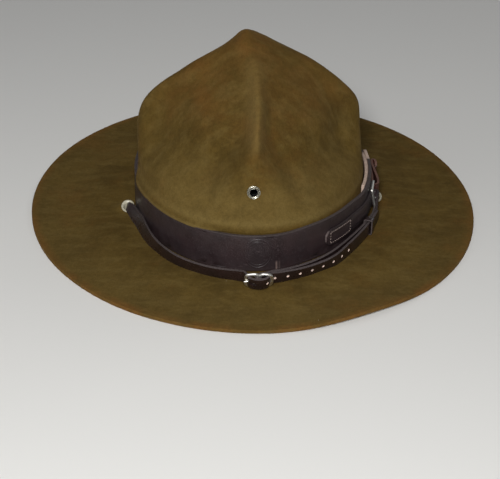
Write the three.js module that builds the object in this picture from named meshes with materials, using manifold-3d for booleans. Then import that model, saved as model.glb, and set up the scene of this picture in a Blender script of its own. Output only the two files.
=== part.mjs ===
import * as THREE from 'three';
import { mergeVertices } from 'three/addons/utils/BufferGeometryUtils.js';
import Module from 'manifold-3d';

// A felt campaign hat with four crown dents, a leather band and a chin strap.
// Millimetres. Front is -Y, the wearer's left is +X, the brim stands on z = 0.

const wasm = await Module();
wasm.setup();

// Driving dimensions
const FELT = 2.7;
const GAP = 0.3;
const SLIVER = 0.02;
const BRIM = { halfWidth: 170, halfLength: 182, edge: 1.1, rise: 3, flatRing: 26, riseRun: 36 };
const BRIM_WAVE = { angle: 27, spread: 15, lift: 3.2, pull: 2 };
const CROWN = { halfWidth: 86, halfLength: 108.5, shiftX: -2, top: 144.6, topX: -7, footRound: 1.2 };
const DENT = { low: 56, frontStart: 92, sideStart: 82, spread: 34, below: 14, above: 20 };
const RIDGE = { front: 7.5, side: 13, crowding: 0.12 };
const COLUMNS = 68;

const EYELET = { outer: 5, hole: 3, barrel: 3.35, flange: 0.5, feltHole: 3.7, tilt: 22 };
const CROWN_EYELET = { outer: 4.9, hole: 2.6, barrel: 3, flange: 0.5, feltHole: 3.4, height: 64 };
const EYELET_PLACES = { left: [-95.6, -17], right: [96.6, -2] };

const BAND = { width: 28.575, thick: 2.4, innerEnd: 69, outerEnd: 101, clear: 0.6 };
const BILLET = { width: 12.7, thick: 1.7, middleZ: 22.1 };
const STRAP = { width: 9.5, thick: 1.8, halfX: 96, halfY: 123.5, shiftX: -0.5 };
const STRAP_HOLES = { count: 9, first: 11.9, pitch: 9.525, radius: 1 };
const INSIDE_LANE = { halfX: 79.6, halfY: 102 };
const BUCKLE = { length: 20, height: 13.4, wire: 1.2, out: 6.4, notch: 2.2, lift: 2.2 };
const BAND_BUCKLE = { length: 17, height: 16.2, wire: 1, angle: 78, out: 9.45 };
const KEEPER = { angle: 63, length: 6, thick: 1.1, pinch: 2, lift: 1.8 };

const brimTop = BRIM.rise + FELT;
const rad = THREE.MathUtils.degToRad;
const vec = (x, y, z) => new THREE.Vector3(x, y, z);
const upward = vec(0, 0, 1);

function material(color, roughness, metalness) {
  return new THREE.MeshStandardMaterial({ color, roughness, metalness });
}

// Crown outline at each height, as shares of the oval at its foot; bite is how deep a dent cuts in,
// x is where the middle of that outline lies, because the crown leans
const crownSections = [
  { z: 8, x: -2, side: 1.0, front: 1.0, back: 1.0, bite: 0 },
  { z: 24, x: -2, side: 1.0, front: 1.0, back: 1.0, bite: 0 },
  { z: 38, x: -2.2, side: 0.996, front: 0.985, back: 0.99, bite: 0 },
  { z: 50, x: -3.2, side: 0.988, front: 0.955, back: 0.972, bite: 0.1 },
  { z: 58, x: -3.8, side: 0.983, front: 0.934, back: 0.96, bite: 0.15 },
  { z: 65, x: -4.1, side: 0.978, front: 0.916, back: 0.948, bite: 0.18 },
  { z: 73, x: -4.1, side: 0.972, front: 0.895, back: 0.93, bite: 0.21 },
  { z: 81, x: -3.7, side: 0.957, front: 0.874, back: 0.905, bite: 0.24 },
  { z: 88, x: -3, side: 0.932, front: 0.857, back: 0.878, bite: 0.265 },
  { z: 95, x: -2.2, side: 0.882, front: 0.834, back: 0.838, bite: 0.285 },
  { z: 103, x: -1.6, side: 0.785, front: 0.762, back: 0.755, bite: 0.3 },
  { z: 111, x: -0.4, side: 0.664, front: 0.664, back: 0.65, bite: 0.31 },
  { z: 119, x: -0.4, side: 0.53, front: 0.542, back: 0.53, bite: 0.315 },
  { z: 127, x: -1, side: 0.362, front: 0.386, back: 0.375, bite: 0.31 },
  { z: 134, x: -3.2, side: 0.208, front: 0.25, back: 0.24, bite: 0.29 },
  { z: 139.5, x: -6.4, side: 0.092, front: 0.14, back: 0.13, bite: 0.24 },
  { z: 142.8, x: -7, side: 0.04, front: 0.062, back: 0.058, bite: 0.15 },
];

// Angles around the hat run from the front towards the wearer's left, closer together at the four ridges
function columnAngle(column) {
  const even = (column / COLUMNS) * Math.PI * 2;
  return even - RIDGE.crowding * Math.sin(4 * even);
}

// Fades from 1 on a ridge line to 0 well beside it
const ridgeShare = (distance, halfWidth) => 1 / (1 + (distance / halfWidth) ** 2);

function crownPoint(section, angle) {
  const across = Math.sin(angle);
  const along = -Math.cos(angle);
  const end = along < 0 ? section.front : section.back;
  const share = end * along * along + section.side * across * across;
  const x = CROWN.halfWidth * across * share;
  const y = CROWN.halfLength * along * share;
  const frontPull = Math.max(0, 1 - Math.abs(x) / DENT.spread) * (DENT.frontStart - DENT.low);
  const sidePull = Math.max(0, 1 - Math.abs(y) / DENT.spread) * (DENT.sideStart - DENT.low);
  const start = DENT.low + Math.max(frontPull, sidePull);
  const depth = THREE.MathUtils.smoothstep(section.z, start - DENT.below, start + DENT.above);
  const between = (1 - ridgeShare(x, RIDGE.front)) * (1 - ridgeShare(y, RIDGE.side));
  const kept = 1 - section.bite * depth * between;
  return vec(x * kept + section.x, y * kept, section.z);
}

function crownRow(section) {
  return Array.from({ length: COLUMNS }, (_, column) => crownPoint(section, columnAngle(column)));
}

// To the wearer's left of the front the rim lifts a little and draws in
function brimWave(angle) {
  const offset = (angle - rad(BRIM_WAVE.angle)) / rad(BRIM_WAVE.spread);
  return Math.exp(-offset * offset);
}

// One ring of the brim: reach is 0 at the crown's foot and 1 at the rim, inset moves it in from there
function brimRow(reach, inset, z) {
  return Array.from({ length: COLUMNS }, (_, column) => {
    const angle = columnAngle(column);
    const wave = brimWave(angle) * reach * reach;
    const drawn = inset + BRIM_WAVE.pull * wave;
    const halfX = THREE.MathUtils.lerp(CROWN.halfWidth, BRIM.halfWidth, reach) - drawn;
    const halfY = THREE.MathUtils.lerp(CROWN.halfLength, BRIM.halfLength, reach) - drawn;
    const shift = THREE.MathUtils.lerp(CROWN.shiftX, 0, reach);
    return vec(shift + halfX * Math.sin(angle), -halfY * Math.cos(angle), z + BRIM_WAVE.lift * wave);
  });
}

// Height of the brim's underside: flat by the rim, then lifted towards the crown
function brimUnder(reach) {
  const fromRim = (1 - reach) * (BRIM.halfWidth - CROWN.halfWidth);
  return BRIM.rise * THREE.MathUtils.smoothstep(fromRim, BRIM.flatRing, BRIM.flatRing + BRIM.riseRun);
}

// A closed body from a stack of rings; each end is closed by a point or, without one, by a fan
function ringBody(rings, firstPoint, lastPoint) {
  const points = rings.flat();
  const size = rings[0].length;
  const faces = [];
  for (let ring = 0; ring + 1 < rings.length; ring += 1) {
    for (let i = 0; i < size; i += 1) {
      const a = ring * size + i;
      const b = ring * size + ((i + 1) % size);
      faces.push(a, b, a + size, b, b + size, a + size);
    }
  }
  const first = firstPoint ? points.push(firstPoint) - 1 : 0;
  const last = lastPoint ? points.push(lastPoint) - 1 : (rings.length - 1) * size;
  for (let i = 0; i < size; i += 1) {
    const next = (i + 1) % size;
    if (firstPoint || (i > 0 && next > 0)) faces.push(first, next, i);
    const a = (rings.length - 1) * size + i;
    const b = (rings.length - 1) * size + next;
    if (lastPoint || (i > 0 && next > 0)) faces.push(last, a, b);
  }
  return outward(points, faces);
}

// Turns the faces round if they point inwards, and returns the geometry
function outward(points, faces) {
  let volume = 0;
  for (let i = 0; i < faces.length; i += 3) {
    const [a, b, c] = [points[faces[i]], points[faces[i + 1]], points[faces[i + 2]]];
    volume += a.dot(b.clone().cross(c));
  }
  if (volume < 0) {
    for (let i = 0; i < faces.length; i += 3) [faces[i], faces[i + 1]] = [faces[i + 1], faces[i]];
  }
  const geometry = new THREE.BufferGeometry();
  const numbers = points.flatMap((point) => point.toArray());
  geometry.setAttribute('position', new THREE.Float32BufferAttribute(numbers, 3));
  geometry.setIndex(faces);
  return geometry;
}

function toSolid(geometry) {
  const bare = geometry.clone();
  bare.deleteAttribute('normal');
  bare.deleteAttribute('uv');
  const merged = mergeVertices(bare, 1e-4);
  const vertProperties = new Float32Array(merged.attributes.position.array);
  const triVerts = new Uint32Array(merged.index.array);
  return new wasm.Manifold(new wasm.Mesh({ numProp: 3, vertProperties, triVerts }));
}

function toGeometry(solid) {
  const mesh = solid.getMesh();
  const geometry = new THREE.BufferGeometry();
  geometry.setAttribute('position', new THREE.BufferAttribute(new Float32Array(mesh.vertProperties), 3));
  geometry.setIndex(new THREE.BufferAttribute(new Uint32Array(mesh.triVerts), 1));
  return geometry;
}

// Cuts leave slivers where an edge nearly meets another one; those under the tolerance are merged away
function cut(geometry, tools) {
  const solid = tools.reduce((rest, tool) => rest.subtract(toSolid(tool)), toSolid(geometry));
  return toGeometry(solid.asOriginal().simplify(SLIVER));
}

function join(geometries) {
  const solid = geometries.map(toSolid).reduce((all, next) => all.add(next));
  return toGeometry(solid);
}

// A round punch along a direction, for eyelet holes and strap holes
function punch(center, direction, radius, length, sides = 16) {
  const tool = new THREE.CylinderGeometry(radius, radius, length, sides);
  const turn = new THREE.Quaternion().setFromUnitVectors(vec(0, 1, 0), direction.clone().normalize());
  tool.applyQuaternion(turn);
  return tool.translate(center.x, center.y, center.z);
}

// The wall's inner rows follow the outer ones, one felt thickness in along the surface normal
function innerCrownRows(outerRows, peak) {
  return outerRows.map((row, r) => row.map((point, c) => {
    const below = r > 0 ? outerRows[r - 1][c] : point.clone().sub(upward);
    const above = r + 1 < outerRows.length ? outerRows[r + 1][c] : peak;
    const side = row[(c + 1) % COLUMNS].clone().sub(row[(c + COLUMNS - 1) % COLUMNS]);
    const normal = side.cross(above.clone().sub(below)).normalize();
    return point.clone().addScaledVector(normal, -FELT);
  }));
}

function crownSurface(height, angle) {
  const upper = crownSections.findIndex((section) => section.z > height);
  const [a, b] = [crownSections[upper - 1], crownSections[upper]];
  const t = (height - a.z) / (b.z - a.z);
  return crownPoint(a, angle).lerp(crownPoint(b, angle), t);
}

function crownEyeletFrame() {
  const center = crownSurface(CROWN_EYELET.height, 0);
  const climb = crownSurface(CROWN_EYELET.height + 5, 0).sub(crownSurface(CROWN_EYELET.height - 5, 0));
  const normal = vec(1, 0, 0).cross(climb).normalize();
  return { center, normal };
}

function buildFelt() {
  const peak = vec(CROWN.topX, 0, CROWN.top);
  const outer = crownSections.map(crownRow);
  const inner = innerCrownRows(outer, peak);
  const innerPeak = peak.clone().addScaledVector(upward, -FELT * 1.5);
  const topReaches = [0.1, 0.35, 0.68];
  const underReaches = [0.7, 0.52, 0.32, 0.12];
  const { edge } = BRIM;
  const round = CROWN.footRound;
  const rings = [
    ...outer.slice().reverse(),
    brimRow(0, -round * 0.3, brimTop + round * 0.3),
    brimRow(0, -round, brimTop),
    ...topReaches.map((reach) => brimRow(reach, 0, brimUnder(reach) + FELT)),
    brimRow(1, edge, FELT),
    brimRow(1, edge * 0.2, FELT - edge * 0.6),
    brimRow(1, edge * 0.2, edge * 0.6),
    brimRow(1, edge, 0),
    ...underReaches.map((reach) => brimRow(reach, 0, brimUnder(reach))),
    brimRow(0, -round, BRIM.rise),
    brimRow(0, FELT - round * 0.6, BRIM.rise + round * 0.8),
    ...inner,
  ];
  const holes = Object.values(EYELET_PLACES).map(([x, y]) => {
    return punch(vec(x, y, BRIM.rise), upward, EYELET.feltHole, FELT * 4);
  });
  const { center, normal } = crownEyeletFrame();
  holes.push(punch(center, normal, CROWN_EYELET.feltHole, FELT * 6));
  return cut(ringBody(rings, peak, innerPeak), holes);
}

// A grommet turned about its axis: a face flange on one side of the felt, a barrel, and a flange behind it
function eyeletBody(size, wall) {
  const face = GAP + 0.15;
  const back = -wall - GAP;
  const profile = [
    [size.hole, back - size.flange], [size.barrel + 1.5, back - size.flange], [size.barrel + 1.5, back],
    [size.barrel, back], [size.barrel, face], [size.outer, face], [size.outer, face + size.flange * 0.7],
    [size.outer - 0.8, face + size.flange * 2], [size.hole + 0.9, face + size.flange * 2],
    [size.hole, face + size.flange * 0.8], [size.hole, back - size.flange],
  ].map(([r, z]) => new THREE.Vector2(r, z));
  return new THREE.LatheGeometry(profile, 16).rotateX(Math.PI / 2);
}

// The strap's pull tips the face ring of each brim eyelet, so that it stands clear of the felt at the back
function buildBrimEyelet() {
  const body = eyeletBody(EYELET, FELT);
  const slope = Math.tan(rad(EYELET.tilt));
  const spots = body.attributes.position;
  for (let i = 0; i < spots.count; i += 1) {
    if (spots.getZ(i) > 0) spots.setZ(i, spots.getZ(i) + (spots.getY(i) + EYELET.outer) * slope);
  }
  return body.translate(0, 0, brimTop);
}

function place(geometry, origin, xAxis, yAxis, zAxis) {
  return geometry.applyMatrix4(new THREE.Matrix4().makeBasis(xAxis, yAxis, zAxis).setPosition(origin));
}

// A point on an oval round the hat, moved outwards, with its outward and forward directions
function onOval(halfX, halfY, shiftX, degrees, out = 0) {
  const angle = rad(degrees);
  const point = vec(shiftX + halfX * Math.sin(angle), -halfY * Math.cos(angle), 0);
  const forward = vec(halfX * Math.cos(angle), halfY * Math.sin(angle), 0).normalize();
  const outwards = forward.clone().cross(upward);
  return { point: point.addScaledVector(outwards, out), forward, outwards };
}

// A flat strip of leather through its stations: middle, direction of its width, width and thickness
function strip(stations) {
  const rings = stations.map((station, i) => {
    const before = stations[Math.max(0, i - 1)].middle;
    const after = stations[Math.min(stations.length - 1, i + 1)].middle;
    const forward = after.clone().sub(before).normalize();
    const through = forward.clone().cross(station.wide).normalize();
    const wide = through.clone().cross(forward).normalize();
    const w = wide.multiplyScalar(station.width / 2);
    const t = through.multiplyScalar(station.thick / 2);
    return [
      station.middle.clone().add(w).add(t), station.middle.clone().add(w).sub(t),
      station.middle.clone().sub(w).sub(t), station.middle.clone().sub(w).add(t),
    ];
  });
  return ringBody(rings);
}

// How far the band stands off the crown at each angle round the hat; its front end laps over its back end
const bandCourse = [
  { angle: BAND.innerEnd, out: BAND.clear },
  { angle: 360 + 52, out: BAND.clear },
  { angle: 360 + BAND.innerEnd - 2, out: BAND.clear + BAND.thick + GAP },
  { angle: 360 + 96, out: BAND.clear + BAND.thick + GAP },
  { angle: 360 + BAND.outerEnd, out: BAND.clear + BAND.thick + GAP + 0.4 },
];

function courseValue(course, angle, key) {
  const upper = course.findIndex((row) => row.angle >= angle);
  if (upper <= 0) return course[0][key];
  const [a, b] = [course[upper - 1], course[upper]];
  return THREE.MathUtils.lerp(a[key], b[key], THREE.MathUtils.smoothstep(angle, a.angle, b.angle));
}

// The band sits higher on the side of its buckle
const bandRise = [
  { angle: 0, lift: 0 },
  { angle: 32, lift: 2.7 },
  { angle: 100, lift: 2.2 },
  { angle: 180, lift: 0 },
];

function bandMiddleZ(angle) {
  return brimTop + 0.8 + BAND.width / 2 + courseValue(bandRise, Math.min(angle % 360, 180), 'lift');
}

function bandStation(angle, out) {
  const { point } = onOval(CROWN.halfWidth, CROWN.halfLength, CROWN.shiftX, angle, out);
  return { middle: point.setZ(bandMiddleZ(angle)), wide: upward, width: BAND.width, thick: BAND.thick };
}

function billetStation(angle, out) {
  const station = bandStation(angle, out);
  station.middle.setZ(BILLET.middleZ);
  return { ...station, width: BILLET.width, thick: BILLET.thick };
}

function buildHatBand() {
  const stations = [];
  const step = 4;
  const end = 360 + BAND.outerEnd;
  for (let angle = BAND.innerEnd; angle <= end + 0.01; angle += step) {
    const out = courseValue(bandCourse, angle, 'out') + BAND.thick / 2;
    stations.push(bandStation(angle, out));
  }
  return strip(stations);
}

// Outside of the band at an angle, where the small straps lie
function bandFace(angle) {
  return courseValue(bandCourse, angle < BAND.outerEnd ? angle + 360 : angle, 'out') + BAND.thick;
}

// Follows a table of places through its rows in order, as one smooth curve, and returns its steps
function smoothCourse(course, steps) {
  const rows = course.map((row) => vec(row.angle, row.out, row.lift ?? 0));
  const curve = new THREE.CatmullRomCurve3(rows, false, 'catmullrom', 0.5);
  return curve.getSpacedPoints(steps).map((row) => ({ angle: row.x, out: row.y, lift: row.z }));
}

// The short strap stitched to the band's front end, folded round the buckle's bar
function buildBandChape() {
  const lie = GAP + BILLET.thick / 2;
  const stations = [];
  for (let angle = 31; angle <= 72; angle += 3) {
    stations.push(billetStation(angle, bandFace(angle) + lie));
  }
  stations[0].width *= 0.55;
  const bar = bandBuckleFrame();
  const reach = BAND_BUCKLE.wire * Math.SQRT2 + GAP + BILLET.thick / 2;
  const heel = bar.center.clone().addScaledVector(bar.forward, -BAND_BUCKLE.length / 2 + BAND_BUCKLE.wire);
  for (let turn = -90; turn <= 90; turn += 30) {
    const middle = heel.clone()
      .addScaledVector(bar.forward, reach * Math.cos(rad(turn)))
      .addScaledVector(bar.outwards, reach * Math.sin(rad(turn)));
    stations.push({ middle, wide: upward, width: BILLET.width, thick: BILLET.thick });
  }
  for (const back of [4, 8]) {
    const middle = heel.clone().addScaledVector(bar.forward, -back);
    middle.addScaledVector(bar.outwards, reach - back * 0.04);
    stations.push({ middle, wide: upward, width: BILLET.width, thick: BILLET.thick });
  }
  const slot = new THREE.BoxGeometry(4 * reach, 6, 3);
  place(slot, heel.clone().addScaledVector(bar.forward, 3), bar.outwards, bar.forward, upward);
  return cut(strip(stations), [slot]);
}

function bandBuckleFrame() {
  const { point, forward, outwards } = onOval(
    CROWN.halfWidth, CROWN.halfLength, CROWN.shiftX, BAND_BUCKLE.angle, BAND_BUCKLE.out,
  );
  return { center: point.setZ(BILLET.middleZ), forward, outwards };
}

// A rounded frame with a waist: its long sides dip towards the middle by the notch
function frameBody(length, height, radius, notch) {
  const [l, h] = [length / 2, height / 2];
  const outline = new THREE.Shape();
  const corner = h * 0.5;
  outline.moveTo(-l + corner, h);
  if (notch > 0) outline.lineTo(-notch, h).lineTo(0, h - notch).lineTo(notch, h);
  outline.lineTo(l - corner, h).quadraticCurveTo(l, h, l, h - corner);
  outline.lineTo(l, -h + corner).quadraticCurveTo(l, -h, l - corner, -h);
  if (notch > 0) outline.lineTo(notch, -h).lineTo(0, -h + notch).lineTo(-notch, -h);
  outline.lineTo(-l + corner, -h).quadraticCurveTo(-l, -h, -l, -h + corner);
  outline.lineTo(-l, h - corner).quadraticCurveTo(-l, h, -l + corner, h);
  const inner = new THREE.Path();
  const wall = radius * 2;
  const [il, ih] = [l - wall, h - wall * 0.62];
  inner.moveTo(-il, -ih);
  if (notch > 0) inner.lineTo(-notch, -ih).lineTo(0, -ih + notch * 0.6).lineTo(notch, -ih);
  inner.lineTo(il, -ih).lineTo(il, ih);
  if (notch > 0) inner.lineTo(notch, ih).lineTo(0, ih - notch * 0.6).lineTo(-notch, ih);
  inner.lineTo(-il, ih).closePath();
  outline.holes.push(inner);
  const body = new THREE.ExtrudeGeometry(outline, { depth: wall, curveSegments: 4, bevelEnabled: false });
  return body.translate(0, 0, -radius);
}

function buildBandBuckle() {
  const body = frameBody(BAND_BUCKLE.length, BAND_BUCKLE.height, BAND_BUCKLE.wire, 0);
  const { center, forward, outwards } = bandBuckleFrame();
  return place(body, center, forward, upward, outwards);
}

// The strap from the band's back end: under the buckle's end bar, then turned back with a curled tail
const billetCourse = [
  { angle: 134, out: 4.2 },
  { angle: 122, out: 4.2 },
  { angle: 110, out: 4.4 },
  { angle: 104, out: 6.2 },
  { angle: 100, out: 7.6 },
  { angle: 94, out: 7.1 },
  { angle: 87, out: 6.9 },
  { angle: 82.5, out: 6.9 },
  { angle: 80.7, out: 7.4 },
  { angle: 79.8, out: 9.3 },
  { angle: 80.7, out: 11.4 },
  { angle: 82.5, out: 12.1 },
  { angle: 88, out: 12.6 },
  { angle: 95, out: 13 },
  { angle: 100, out: 13.3 },
  { angle: 102.6, out: 12.8 },
  { angle: 103.3, out: 11.4 },
  { angle: 102.3, out: 10.2 },
  { angle: 100.6, out: 9.9 },
];

function buildBandBillet() {
  const course = smoothCourse(billetCourse, 54);
  return strip(course.map(({ angle, out }) => billetStation(angle, out)));
}

function buildKeeper(frame) {
  const [inX, inY] = [STRAP.thick * 2 + GAP * 4, STRAP.width + GAP * 3];
  const corners = (x, y) => [new THREE.Vector2(-x, -y), new THREE.Vector2(x, -y), new THREE.Vector2(x, y),
    new THREE.Vector2(-x, y)];
  const ring = new THREE.Shape(corners(inX / 2 + KEEPER.thick, inY / 2 + KEEPER.thick));
  ring.holes.push(new THREE.Path(corners(inX / 2, inY / 2).reverse()));
  const body = new THREE.ExtrudeGeometry(ring, { depth: KEEPER.length, bevelEnabled: false });
  body.translate(0, 0, -KEEPER.length / 2);
  frame.point.setZ(brimTop + KEEPER.lift + STRAP.width / 2);
  return place(body, frame.point, frame.outwards, upward, frame.forward.clone().negate());
}

// Chin strap
// Both layers cross the front on one oval; lift is the height of the strap's lower edge over the brim,
// lean is how far its upper edge tips outwards, in degrees
const SECOND = STRAP.thick + GAP;
const attachedCourse = [
  { angle: 4.9, out: 1.4, lift: 2, lean: 0 },
  { angle: 12, out: 0.2, lift: 1.6, lean: 4 },
  { angle: 22, out: -0.4, lift: 0.8, lean: 12 },
  { angle: 32, out: -0.4, lift: 0.6, lean: 10 },
  { angle: 42, out: -1.2, lift: 0.6, lean: 0 },
  { angle: 52, out: -2.4, lift: 1.2, lean: 0 },
  { angle: KEEPER.angle, out: -KEEPER.pinch, lift: KEEPER.lift, lean: 0 },
  { angle: 71, out: 1.2, lift: 0.3, lean: 0 },
];
const leftCourse = [
  { angle: -68, out: -0.6, lift: 0.8, lean: -26 },
  { angle: -61, out: -0.2, lift: 0.7, lean: -20 },
  { angle: -54, out: 0.6, lift: 0.5, lean: -11 },
  { angle: -45, out: 1.2, lift: 0.4, lean: 2 },
  { angle: -35, out: 1.5, lift: 0.5, lean: 13 },
  { angle: -24, out: 0.9, lift: 0.6, lean: 18 },
  { angle: -14, out: 0.6, lift: 0.8, lean: 12 },
  { angle: -6.5, out: 2.6, lift: 1.8, lean: 0 },
];
const billetFrontCourse = [
  { angle: -6.5, out: 2.6, lift: 1.8, lean: 0 },
  { angle: -4.9, out: 3.6, lift: 2, lean: 0 },
  { angle: -2.8, out: 6.4, lift: 2.2, lean: 0 },
  { angle: -1.4, out: 9.8, lift: 2.2, lean: 0 },
  { angle: 0.2, out: 11.5, lift: 2.2, lean: 0 },
  { angle: 1.6, out: 10.2, lift: 2.2, lean: 0 },
  { angle: 3, out: 6.2, lift: 2.2, lean: 0 },
  { angle: 4.4, out: 3.9, lift: 2.1, lean: 0 },
  { angle: 8, out: SECOND + 0.9, lift: 1.8, lean: 1.6 },
  { angle: 12, out: SECOND + 0.2, lift: 1.6, lean: 4 },
  { angle: 22, out: SECOND - 0.4, lift: 0.8, lean: 12 },
  { angle: 32, out: SECOND - 0.4, lift: 0.6, lean: 10 },
  { angle: 42, out: SECOND - 1.2, lift: 0.6, lean: 0 },
  { angle: 52, out: SECOND - 2.4, lift: 1.2, lean: 0 },
  { angle: KEEPER.angle, out: SECOND - KEEPER.pinch, lift: KEEPER.lift, lean: 0 },
  { angle: 69, out: SECOND + 0.6, lift: 1.4, lean: 0 },
  { angle: 75, out: 6.4, lift: 1, lean: 0 },
];

function strapStation({ angle, out, lift, lean }) {
  const { point, outwards } = onOval(STRAP.halfX, STRAP.halfY, STRAP.shiftX, angle, out);
  const wide = upward.clone().multiplyScalar(Math.cos(rad(lean))).addScaledVector(outwards, Math.sin(rad(lean)));
  const middle = point.setZ(brimTop + lift).addScaledVector(wide, STRAP.width / 2);
  return { middle, wide, width: STRAP.width, thick: STRAP.thick };
}

function followCourse(course, step) {
  const stations = [];
  const [first, last] = [course[0].angle, course.at(-1).angle];
  const count = Math.max(1, Math.round((last - first) / step));
  for (let i = 0; i <= count; i += 1) {
    const angle = THREE.MathUtils.lerp(first, last, i / count);
    const [out, lift, lean] = ['out', 'lift', 'lean'].map((key) => courseValue(course, angle, key));
    stations.push(strapStation({ angle, out, lift, lean }));
  }
  return stations;
}

// From the front down through one eyelet, under the brim and up on edge inside; side is -1 or 1.
// Inward is how far the strap has come from the eyelet towards its lane inside the opening, and tip is
// how far its upper edge leans over the hat, which the buckle of the band prevents on the right
function throughEyelet([x, y], side) {
  const under = BRIM.rise - GAP * 2 - EYELET.flange - STRAP.thick / 2;
  const laneX = CROWN.shiftX + side * INSIDE_LANE.halfX * 0.99;
  const tip = side > 0 ? 0 : -0.45;
  const rows = [
    { inward: 0, dy: -17, z: 10.6, w: 9, t: 1.8, wide: [tip, 0.05, 0.9] },
    { inward: 0, dy: -9, z: 11.1, w: 6.6, t: 1.9, wide: [tip, 0.1, 0.85] },
    { inward: 0, dy: -4.6, z: 11.3, w: 4.5, t: 1.9, wide: [tip / 2, 0.3, 0.9] },
    { inward: 0, dy: -1.1, z: 10, w: 3.7, t: 1.9, wide: [0, 0.7, 0.7] },
    { inward: 0, dy: 0.2, z: 6.6, w: 3.7, t: 1.9, wide: [0, 1, 0.1] },
    { inward: 0, dy: 0.2, z: 3.2, w: 3.8, t: 1.9, wide: [0, 1, 0] },
    { inward: 0.06, dy: 0.3, z: under + 0.1, w: 4.4, t: 1.2, wide: [0, 1, 0] },
    { inward: 0.22, dy: 0.6, z: under - 0.1, w: 5.6, t: 1.2, wide: [0, 1, 0] },
    { inward: 0.6, dy: 2, z: under, w: 6.4, t: 1.5, wide: [0.1, 1, 0] },
    { inward: 0.84, dy: 5, z: under + 0.2, w: 6.4, t: 1.5, wide: [0.3, 1, 0.1] },
    { inward: 1, dy: 11, z: 3.6, w: 6.4, t: 1.6, wide: [0.2, 0.3, 0.9] },
    { inward: 1, dy: 19, z: 4.9, w: 8.6, t: STRAP.thick, wide: [0, 0, 1] },
  ];
  return rows.map((row) => ({
    middle: vec(THREE.MathUtils.lerp(x, laneX, row.inward), y + row.dy, row.z),
    wide: vec(side * row.wide[0], row.wide[1], row.wide[2]),
    width: row.w,
    thick: row.t,
  }));
}

function insideStretch() {
  const stations = [];
  for (let angle = 111; angle <= 252; angle += 7) {
    const { point } = onOval(INSIDE_LANE.halfX, INSIDE_LANE.halfY, CROWN.shiftX, angle);
    const middle = point.setZ(0.4 + STRAP.width / 2);
    stations.push({ middle, wide: upward, width: STRAP.width, thick: STRAP.thick });
  }
  return stations;
}

// Fold of the attached end round the buckle's middle bar, seen from above; the end lies under the billet
function foldStations() {
  const reach = BUCKLE.wire + GAP + STRAP.thick / 2;
  const z = brimTop + BUCKLE.lift + STRAP.width / 2;
  const middleY = -STRAP.halfY - BUCKLE.out;
  const narrow = 7.2;
  const at = (x, y, width) => ({ middle: vec(x, y, z), wide: upward, width, thick: STRAP.thick });
  const turns = [at(2.2, middleY - reach, narrow)];
  for (let turn = 270; turn >= 90; turn -= 30) {
    const [x, y] = [reach * Math.cos(rad(turn)), reach * Math.sin(rad(turn))];
    turns.push(at(STRAP.shiftX + x, middleY + y, narrow));
  }
  turns.push(at(3.6, middleY + reach + 0.7, narrow + 0.6));
  return turns;
}

const lengthAlong = (stations) => stations.reduce((lengths, station, i) => {
  lengths.push(i === 0 ? 0 : lengths[i - 1] + station.middle.distanceTo(stations[i - 1].middle));
  return lengths;
}, []);

// Punches for the holes of the billet, one pitch apart beyond the tongue's hole
function strapPunches(stations) {
  const lengths = lengthAlong(stations);
  const tongueAt = stations.findIndex((station) => station.middle.x > -5.4);
  const tools = [];
  for (let hole = 0; hole < STRAP_HOLES.count; hole += 1) {
    const length = lengths[tongueAt] + STRAP_HOLES.first + hole * STRAP_HOLES.pitch;
    const next = lengths.findIndex((value) => value > length);
    const t = (length - lengths[next - 1]) / (lengths[next] - lengths[next - 1]);
    const [a, b] = [stations[next - 1].middle, stations[next].middle];
    const across = b.clone().sub(a).cross(stations[next].wide);
    tools.push(punch(a.clone().lerp(b, t), across, STRAP_HOLES.radius, STRAP.thick + 0.5, 8));
  }
  return tools;
}

function buildChinStrap() {
  const course = smoothCourse(billetFrontCourse, 60);
  const billet = course.map((row) => strapStation({ ...row, lean: courseValue(billetFrontCourse, row.angle, 'lean') }));
  const stations = [
    ...foldStations(),
    ...followCourse(attachedCourse, 4),
    ...throughEyelet(EYELET_PLACES.right, 1),
    ...insideStretch(),
    ...throughEyelet(EYELET_PLACES.left, -1).reverse(),
    ...followCourse(leftCourse, 4.4),
    ...billet.slice(1),
  ];
  const middleZ = brimTop + BUCKLE.lift + STRAP.width / 2;
  const barY = -STRAP.halfY - BUCKLE.out;
  const tongueSlots = [[6, -5], [6.4, -0.8]].map(([long, x]) => {
    return new THREE.BoxGeometry(long, 5.2, 2.6).translate(x, barY, middleZ);
  });
  return cut(strip(stations), [...tongueSlots, ...strapPunches(billet)]);
}

// The tongue turns on the middle bar, comes up through the billet and rests on the left bar
function buildTongue() {
  const eye = new THREE.Shape();
  const inside = BUCKLE.wire + GAP;
  eye.absarc(0, 0, inside + 0.8, 0, Math.PI * 2, false);
  const bore = new THREE.Path();
  bore.absarc(0, 0, inside, 0, Math.PI * 2, true);
  eye.holes.push(bore);
  const ring = new THREE.ExtrudeGeometry(eye, { depth: 1.7, curveSegments: 6, bevelEnabled: false });
  ring.translate(0, 0, -0.85);
  const arm = new THREE.BoxGeometry(8.6, 1, 1.5).translate(-6.1, 0, 0);
  arm.rotateZ(rad(10)).translate(0, -0.7, 0);
  return join([ring, arm]);
}

function buildStrapBuckle() {
  const frame = frameBody(BUCKLE.length, BUCKLE.height, BUCKLE.wire, BUCKLE.notch);
  const bar = new THREE.CylinderGeometry(BUCKLE.wire, BUCKLE.wire, BUCKLE.height - BUCKLE.wire * 3, 8);
  const body = join([frame, bar]);
  const center = vec(STRAP.shiftX, -STRAP.halfY - BUCKLE.out, brimTop + GAP + BUCKLE.height / 2);
  return place(body, center, vec(1, 0, 0), upward, vec(0, -1, 0));
}

// Colours and finishes
const felt = material(0x63502b, 0.95, 0);
const bandLeather = material(0x2d2123, 0.5, 0);
const strapLeather = material(0x2c1614, 0.45, 0);
const nickel = material(0xc9c7bd, 0.3, 1);
const enamelled = material(0xb9b79f, 0.45, 0.6);

const hat = new THREE.Group();

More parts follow.
